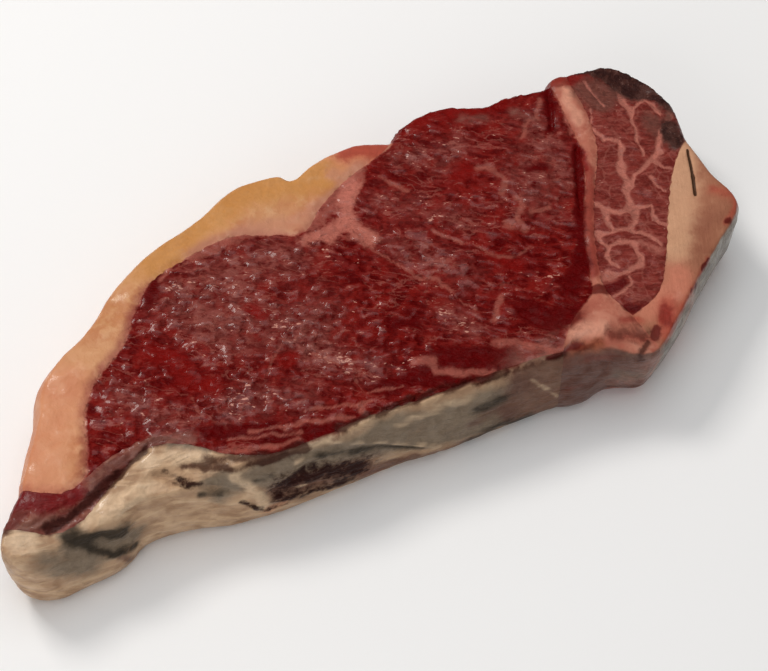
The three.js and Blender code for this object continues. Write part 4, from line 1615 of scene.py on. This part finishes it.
@dataclass(frozen=True)
class CrustLook(Look):
    """The dark dried crust, leathery, with grey flecks."""

    base: Colour = linear(42, 20, 17)
    warm: Colour = linear(68, 38, 31)
    fleck: Colour = linear(112, 86, 78)

    def paint(self, clouds: Clouds) -> Paint:
        """Builds the paint.

        Args:
            clouds: The patterns of the material.

        Returns:
            The paint.
        """
        graph = clouds.graph
        mottled = clouds.broad + clouds.sway(middle=0.6)
        colour = graph.blend(graph.step(mottled, 0.42, 0.64), self.base, self.warm)
        flecks = graph.step(clouds.fine + clouds.sway(middle=0.5), 0.62, 0.72)
        colour = graph.blend(flecks * 0.55, colour, self.fleck)
        rough = graph.between(clouds.middle, 0.35, 0.65)
        wet = graph.step(clouds.broad, 0.5, 0.7) * 0.35
        height = clouds.sway(middle=0.9, fine=0.2)
        return Paint(colour, rough, wet, height)


@dataclass(frozen=True)
class Layer:
    """One tone over a look.

    Args:
        tone: The mask that it lies in.
        colour: Its colour.
        strength: How far it hides what is under it.
        fray: How ragged its edge is.
        soft: How soft its edge is.
        level: The mask's weight at its edge.
        folded: How far its edge follows the folds of the membrane.
        wet: The share of the wetness that it leaves.
        vary: How far its colour grows lighter and darker.
        look: How it looks, where it is more than a tint.
    """

    tone: Tone
    colour: Colour
    strength: float = 0.9
    fray: float = 0.6
    soft: float = 0.25
    level: float = 0.45
    folded: float = 0.0
    wet: float = 1.0
    vary: float = 0.16
    look: Look | None = None

    def over(self, clouds: Clouds, paint: Paint) -> Paint:
        """Lays the tone over a paint.

        Args:
            clouds: The patterns of the material.
            paint: The paint under it.

        Returns:
            The paint with the tone on it.
        """
        graph = clouds.graph
        ragged = clouds.sway(middle=1.0, broad=0.7, fine=0.2)
        if self.folded:
            ragged = ragged * (1 - self.folded) + clouds.sway(folds=2.2 * self.folded)
        laid = clouds.mask(self.tone.value)
        frayed = laid + ragged * self.fray * graph.step(laid, 0.0, 0.3)
        share = graph.step(frayed, self.level - self.soft, self.level + self.soft) * self.strength
        if self.look:
            return paint.under(graph, share, self.look.paint(clouds))
        lighter, darker = shaded(self.colour, 1 + self.vary), shaded(self.colour, 1 - self.vary)
        varied = graph.blend(graph.step(clouds.middle, 0.25, 0.75), lighter, darker)
        wet = paint.wet * (1 - share * (1 - self.wet)) if self.wet < 1 else paint.wet
        return Paint(graph.blend(share, paint.colour, varied), paint.roughness, wet, paint.height)


@dataclass(frozen=True)
class Edge:
    """A neighbouring tissue that reaches over the border in a ragged line.

    Args:
        mask: The mask with the depth in the neighbour in millimetres.
        look: How the neighbour looks.
        stray: How far the line strays from the border.
        soft: How wide the change is.
        level: The depth at the middle of the change.
        turned: Strays the other way, as the far side of a border does.
    """

    mask: str
    look: Look
    stray: float = 2.4
    soft: float = 0.5
    level: float = 0.0
    turned: bool = False

    def over(self, clouds: Clouds, paint: Paint) -> Paint:
        """Lays the neighbour over a paint.

        Args:
            clouds: The patterns of the material.
            paint: The tissue's own paint.

        Returns:
            The paint with the neighbour on it.
        """
        ragged = clouds.sway(middle=0.55, broad=0.9, fine=0.08)
        strayed = clouds.mask(self.mask) + ragged * (-self.stray if self.turned else self.stray)
        share = clouds.graph.step(strayed, self.level - self.soft, self.level + self.soft)
        return paint.under(clouds.graph, share, self.look.paint(clouds))


@dataclass(frozen=True)
class Finish:
    """How one tissue looks. Every finish builds one material.

    Args:
        name: The material's name.
        look: The tissue's own look.
        edges: The tissues beside it.
        layers: The tones over it, from the lowest.
        wall: The look of its outer side, if that differs.
        gloss: The strength of its plain shine.
    """

    name: str
    look: Look
    edges: tuple[Edge, ...] = ()
    layers: tuple[Layer, ...] = ()
    wall: Look | None = None
    gloss: float = 0.12

    def material(self) -> bpy.types.Material:
        """Makes the material with its surface nodes.

        Returns:
            The material.
        """
        made = bpy.data.materials.new(self.name)
        made.use_nodes = True
        made.node_tree.nodes.clear()
        graph = Graph(made.node_tree)
        place = graph.scaled(graph.take(graph.node("ShaderNodeTexCoord"), 3), 1 / MM)
        clouds = Clouds(graph, place)
        paint = self.look.paint(clouds)
        if self.wall:
            frayed = clouds.mask("wall") + clouds.sway(broad=0.5)
            paint = paint.under(graph, graph.step(frayed, 0.35, 0.8), self.wall.paint(clouds))
        for part in (*self.edges, *self.layers):
            paint = part.over(clouds, paint)
        bump = {"Height": paint.height, "Distance": MM, "Strength": 1.0}
        surface = graph.node(
            "ShaderNodeBsdfPrincipled",
            None,
            {
                "Base Color": paint.colour,
                "Roughness": paint.roughness,
                "Specular IOR Level": self.gloss,
                "Coat Weight": paint.wet,
                "Coat Roughness": COAT_ROUGHNESS,
                "Normal": graph.take(graph.node("ShaderNodeBump", None, bump)),
            },
        )
        graph.node("ShaderNodeOutputMaterial", None, {"Surface": graph.take(surface)})
        return made

    def masks(self) -> tuple[str, ...]:
        """The names of the masks that its piece has to carry."""
        tones = {layer.tone.value for layer in self.layers} | {Tone.SHEEN.value, Tone.GLINT.value}
        return (*sorted(tones), *sorted({edge.mask for edge in self.edges}))


LEAN = LeanLook()
BRICK_LEAN = LeanLook(
    linear(100, 30, 24),
    linear(126, 46, 38),
    linear(112, 38, 31),
    # The colour of its painted sheen.
    linear(140, 72, 62),
    linear(160, 92, 80),
    veiled=0.35,
    flecked=0.15,
    veined=0.28,
    wetness=0.25,
)
CAP_FAT = FatLook()
PINK_FAT = FatLook(linear(184, 114, 93), linear(162, 88, 72), linear(202, 138, 115))
DUSKY_FAT = FatLook(linear(172, 104, 86), linear(146, 72, 60), linear(190, 128, 104))
FILM = FilmLook()
DARK_FILM = FilmLook(linear(106, 72, 60), linear(84, 50, 41), linear(130, 100, 84))
SILVER_FILM = FilmLook(linear(136, 126, 114), linear(106, 94, 84), linear(164, 156, 144))
DRY_LEAN = FilmLook(linear(132, 76, 64), linear(102, 44, 38), linear(164, 112, 92), 0.3)
BONE = BoneLook()
CRUST = CrustLook()
COLOURS = {
    Tone.GOLD: linear(190, 130, 66),
    Tone.SALMON: linear(208, 134, 100),
    Tone.DUSK: linear(186, 126, 102),
    Tone.ROSE: linear(166, 70, 54),
    # Dark blood red, also used as painted shade along creases.
    Tone.BLOOD: linear(84, 1, 2),
    Tone.BRIGHT: linear(118, 12, 8),
    Tone.FAT_LINE: linear(166, 96, 80),
    # Painted shade in the bone's slit.
    Tone.SLIT: linear(60, 34, 16),
    # Painted shade in crevices and gaps.
    Tone.GAP: linear(54, 17, 12),
    # Pale tissue, and painted highlights.
    Tone.PALE: linear(206, 158, 124),
    Tone.GREY: linear(114, 101, 86),
    Tone.SLATE: linear(50, 42, 34),
    Tone.BROWN: linear(40, 10, 6),
    Tone.MAUVE: linear(100, 66, 56),
    Tone.CRUST: linear(40, 22, 18),
}


def layer(tone: Tone, strength: float = 0.9, **edges: float) -> Layer:
    """Makes a layer in its tone's usual colour."""
    return Layer(tone, COLOURS[tone], strength, **edges)


# Some layers are painted light and shade: the pale marks on the seam and the rib are painted highlights, and
# the gap, the slit and the blood lines along creases are painted shade.
FINISHES = {
    Tissue.FAT_CAP: Finish(
        "golden_fat",
        CAP_FAT,
        (
            Edge("depth_lean", DUSKY_FAT, 3.4, 1.9, -1.5, turned=True),
            Edge("depth_lean", LEAN, 2.4, 0.5, 0.3, turned=True),
        ),
        (
            layer(Tone.SALMON, 0.6, soft=0.45, vary=0.05),
            layer(Tone.GOLD, 0.8, soft=0.45, vary=0.08),
            layer(Tone.DUSK, 0.7, soft=0.45, vary=0.05),
            layer(Tone.ROSE, 0.95, soft=0.45, vary=0.1),
        ),
    ),
    Tissue.EYE: Finish(
        "dark_lean",
        LEAN,
        (Edge("depth_fat", DUSKY_FAT, 2.4, 0.5, -0.3), Edge("depth_film", DARK_FILM, 2.4, 0.8, 0.2)),
        (
            layer(Tone.BRIGHT, 0.8, soft=0.4, wet=0.2),
            layer(Tone.BLOOD, 0.96, soft=0.35, wet=0.1),
            Layer(Tone.MAUVE, linear(134, 86, 76), 0.8, 0.8, 0.45, folded=0.6),
            Layer(Tone.DUSK, linear(154, 84, 72), 0.75, 1.2, 0.35, 0.7),
            Layer(Tone.PALE, linear(184, 108, 93), 0.85, 1.2, 0.4),
            Layer(Tone.FAT_LINE, linear(158, 86, 74), 0.72, 1.3, 0.45, vary=0.22),
            layer(Tone.GAP, 0.8, fray=0.9, soft=0.45, wet=0.1),
        ),
        gloss=0.035,
    ),
    Tissue.FLANK: Finish(
        "dry_lean",
        DRY_LEAN,
        (Edge("depth_fat", DUSKY_FAT, 2.4, 0.5, -0.3),),
        (
            layer(Tone.MAUVE, 0.5, soft=0.45, folded=0.6),
            layer(Tone.BRIGHT, 0.9, soft=0.3, wet=0.4),
            Layer(Tone.BLOOD, linear(106, 14, 17), 0.95, 0.9, 0.4, wet=0.4),
            layer(Tone.GAP, 0.9, fray=0.9, soft=0.45, wet=0.2),
        ),
        gloss=0.08,
    ),
    Tissue.SEAM: Finish(
        "inner_fat",
        PINK_FAT,
        (Edge("depth_lean", LEAN, 1.6, 0.4, 0.2, turned=True),),
        (
            # Painted highlight on the lump.
            Layer(Tone.PALE, linear(208, 146, 122), 0.8, soft=0.45),
            Layer(Tone.ROSE, linear(138, 56, 46), 0.88, 0.8, 0.4),
            Layer(Tone.DUSK, linear(150, 84, 58), 0.85, 0.9, 0.45),
            Layer(Tone.SALMON, linear(150, 108, 96), 0.8, 0.6, 0.45),
            layer(Tone.MAUVE, 0.8, soft=0.45),
            Layer(Tone.BROWN, linear(110, 56, 45), 0.85, 1.2, 0.45, folded=0.4),
            layer(Tone.GREY, 0.5, soft=0.4),
            layer(Tone.BRIGHT, 0.8, soft=0.35, wet=0.4),
            layer(Tone.BLOOD, 0.85, soft=0.4, wet=0.2),
            layer(Tone.GAP, 0.8, fray=1.2, soft=0.45, wet=0.2),
        ),
        DARK_FILM,
        gloss=0.07,
    ),
    Tissue.CHINE_MEAT: Finish(
        "marbled_lean",
        BRICK_LEAN,
        (Edge("depth_fat", PINK_FAT, 1.0, 0.3, 0.6), Edge("depth_bone", BONE, 2.2, 0.4)),
        (
            layer(Tone.BRIGHT, 0.8, soft=0.35, wet=0.4),
            layer(Tone.MAUVE, 0.6, soft=0.4),
            Layer(Tone.FAT_LINE, linear(174, 104, 90), 0.92, 1.0, 0.4, 0.45, vary=0.2),
            layer(Tone.BLOOD, 0.9, soft=0.35, wet=0.3),
            layer(Tone.CRUST, 0.95, soft=0.3, look=CRUST),
        ),
        gloss=0.08,
    ),
    Tissue.CHINE_BONE: Finish(
        "sawn_bone",
        BONE,
        (Edge("depth_fat", PINK_FAT, 1.6, 0.6), Edge("depth_lean", BRICK_LEAN, 2.2, 0.4, turned=True)),
        (
            layer(Tone.PALE, 0.75, soft=0.45, vary=0.06),
            Layer(Tone.DUSK, linear(196, 120, 96), 0.8, 0.6, 0.45, vary=0.08),
            layer(Tone.ROSE, 0.75, soft=0.45),
            layer(Tone.GREY, 0.4, soft=0.4),
            layer(Tone.BROWN, 0.7, soft=0.35),
            layer(Tone.BRIGHT, 0.7, soft=0.35),
            layer(Tone.BLOOD, 0.85, soft=0.3),
            layer(Tone.GAP, 0.85, fray=0.4, soft=0.4, wet=0.3),
            layer(Tone.CRUST, 0.95, soft=0.3, look=CRUST),
            # Painted shade in the slit.
            layer(Tone.SLIT, 0.97, fray=0.1, soft=0.2),
        ),
        SILVER_FILM,
    ),
    Tissue.RIB: Finish(
        "rib_film",
        FILM,
        (Edge("depth_lean", DARK_FILM, 2.4, 0.8, -0.4, turned=True),),
        (
            layer(Tone.SALMON, 0.6, soft=0.45),
            layer(Tone.GREY, 0.85, fray=0.6, soft=0.5, level=0.5, folded=0.5, wet=0.6),
            layer(Tone.MAUVE, 0.85, fray=0.6, soft=0.5, level=0.5, folded=0.4, wet=0.4),
            layer(Tone.SLATE, 0.95, fray=0.7, soft=0.48, level=0.5, folded=0.5, wet=0.1),
            layer(Tone.ROSE, 0.7, soft=0.4, folded=0.5),
            # Painted highlights on the ridges and the knob.
            Layer(Tone.PALE, linear(212, 182, 150), 0.75, 0.8, 0.4, folded=0.6),
            layer(Tone.BROWN, 0.96, fray=1.6, soft=0.45, level=0.5, wet=0.05),
            layer(Tone.BLOOD, 0.9, soft=0.35, wet=0.4),
            layer(Tone.GAP, 0.85, fray=0.8, soft=0.45, wet=0.1),
        ),
        gloss=0.04,
    ),
}


DEPTH_MASKS = {
    "depth_lean": (Tissue.EYE, Tissue.CHINE_MEAT, Tissue.FLANK),
    "depth_fat": (Tissue.FAT_CAP, Tissue.SEAM),
    "depth_film": (Tissue.RIB,),
    "depth_bone": (Tissue.CHINE_BONE,),
}


@dataclass
class Dressing:
    """Gives the pieces their masks and materials.

    Args:
        plan: Where each tissue lies.
        slots: The material slot of each node in the record; not used.
    """

    plan: TissuePlan
    slots: dict[str, str]

    def dress(self, tissue: Tissue, piece: bpy.types.Object) -> None:
        """Dresses one piece, puts it under the body and hides its node.

        Args:
            tissue: Which tissue the piece is.
            piece: The piece.
        """
        finish = FINISHES[tissue]
        places = places_of(piece.data)
        wanted = finish.masks()
        masks = {tone.value: tone_weight(tone, places) for tone in Tone if tone.value in wanted}
        for name, tissues in DEPTH_MASKS.items():
            if name in wanted:
                depths = [self.plan.depth(one, places) for one in tissues]
                masks[name] = np.clip(np.max(depths, axis=0), -FARTHEST_DEPTH, FARTHEST_DEPTH)
        if finish.wall:
            masks["wall"] = 1 - np.abs(normals_of(piece.data)[:, 2])
        write_masks(piece.data, masks)
        piece.data.materials.clear()
        piece.data.materials.append(finish.material())
        piece.data.shade_smooth()
        piece.data.set_sharp_from_angle(angle=SHARP_ANGLE)
        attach(piece, BODY)
        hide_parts(tissue.value)
        log.info("%s has %d triangles", piece.name, len(piece.data.polygons))


def direction(azimuth: float, elevation: float) -> Vector:
    """The way to what stands azimuth degrees round from the front and elevation degrees up."""
    turn, lift = math.radians(azimuth), math.radians(elevation)
    return Vector((math.sin(turn) * math.cos(lift), -math.cos(turn) * math.cos(lift), math.sin(lift)))


@dataclass(frozen=True)
class Lamp:
    """One soft square light that faces the steak. Sizes are in metres.

    Args:
        name: Its name.
        azimuth: Degrees that it hangs round from the front.
        elevation: Degrees that it hangs up.
        distance: How far away it hangs.
        size: The length of its sides.
        watts: Its power.
        tint: Its colour.
    """

    name: str
    azimuth: float
    elevation: float
    distance: float
    size: float
    watts: float
    tint: tuple[float, float, float] = (1.0, 1.0, 1.0)

    def hang(self) -> None:
        """Adds the light to the scene."""
        way = direction(self.azimuth, self.elevation)
        data = bpy.data.lights.new(self.name, "AREA")
        data.size = self.size
        data.energy = self.watts
        data.color = self.tint
        lamp = placed(self.name, data)
        lamp.location = way * self.distance
        lamp.rotation_euler = way.to_track_quat("Z", "Y").to_euler()


LAMPS = (
    Lamp("key", 198, 53, 1.1, 0.3, 5.1, (1.0, 0.955, 0.91)),
    Lamp("ceiling", 147, 84, 1.2, 0.9, 4.4),
    Lamp("fill", -60, 28, 1.4, 0.8, 3.6),
)


@dataclass
class Studio:
    """A pale floor, soft light and the camera. Sizes are in metres.

    Args:
        azimuth: Degrees that the camera stands round from the front.
        elevation: Degrees that it looks down.
        distance: How far it is from where it looks.
        look_at: Where it looks.
        sensor: The width of its sensor in millimetres.
        lens: Its focal length in millimetres.
        half: Half the width of the floor.
        floor_grey: How light the floor is, from 0 to 1.
        floor_roughness: How dull it is, from 0 to 1.
        room_light: The strength of the light from all sides.
    """

    azimuth: float = -33.0
    elevation: float = 58.0
    distance: float = 0.56
    look_at: tuple[float, float, float] = (0.00037, -0.01234, 0.028)
    sensor: float = 36.0
    lens: float = 96.1
    half: float = 3.0
    floor_grey: float = 0.92
    floor_roughness: float = 0.9
    room_light: float = 0.3

    def camera(self) -> None:
        """Places the camera as the photograph's was."""
        back = direction(self.azimuth, self.elevation)
        data = bpy.data.cameras.new("camera")
        data.sensor_width = self.sensor
        data.lens = self.lens
        data.clip_start = 0.01
        camera = placed("camera", data)
        camera.location = Vector(self.look_at) + back * self.distance
        camera.rotation_euler = back.to_track_quat("Z", "Y").to_euler()
        bpy.context.scene.camera = camera

    def floor(self) -> None:
        """Lays the floor."""
        mesh = bpy.data.meshes.new("floor")
        corners = [(x * self.half, y * self.half, 0) for x, y in ((-1, -1), (1, -1), (1, 1), (-1, 1))]
        mesh.from_pydata(corners, [], [(0, 1, 2, 3)])
        pale = bpy.data.materials.new("pale_floor")
        pale.use_nodes = True
        surface = pale.node_tree.nodes["Principled BSDF"]
        surface.inputs["Base Color"].default_value = (self.floor_grey, self.floor_grey, self.floor_grey, 1)
        surface.inputs["Roughness"].default_value = self.floor_roughness
        mesh.materials.append(pale)
        floor = placed("floor", mesh)

    def room(self) -> None:
        """Fills the room with even light."""
        world = bpy.data.worlds.new("soft_room")
        world.use_nodes = True
        air = world.node_tree.nodes["Background"]
        air.inputs["Color"].default_value = (1, 1, 1, 1)
        air.inputs["Strength"].default_value = self.room_light
        bpy.context.scene.world = world

    def build(self) -> None:
        """Sets up the floor, the room, the lights and the camera."""
        self.floor()
        self.room()
        for lamp in LAMPS:
            lamp.hang()
        self.camera()
        bpy.context.scene.view_settings.view_transform = "Standard"


def main() -> None:
    """Builds the skin, its relief, the pieces, their finishes and the studio."""
    logging.basicConfig(level=logging.INFO, format="%(relativeCreated)7.0f %(message)s")
    plan = TissuePlan(frame["nodes"])
    log.info("read the outlines")
    maker = Skin(frame["nodes"])
    skin = maker.build()
    log.info("skin of %d vertices", len(skin.data.vertices))
    coating = bpy.data.materials.new("meat")
    Relief(plan).shape(skin, coating, maker.grow)
    log.info("raised the relief")
    dressing = Dressing(plan, {part["node"]: part["material_slot"] for part in frame["record"]["subparts"]})
    for tissue, piece in Parting(plan).cut(skin).items():
        dressing.dress(tissue, piece)
    Studio().build()


if __name__ == "__main__":
    main()
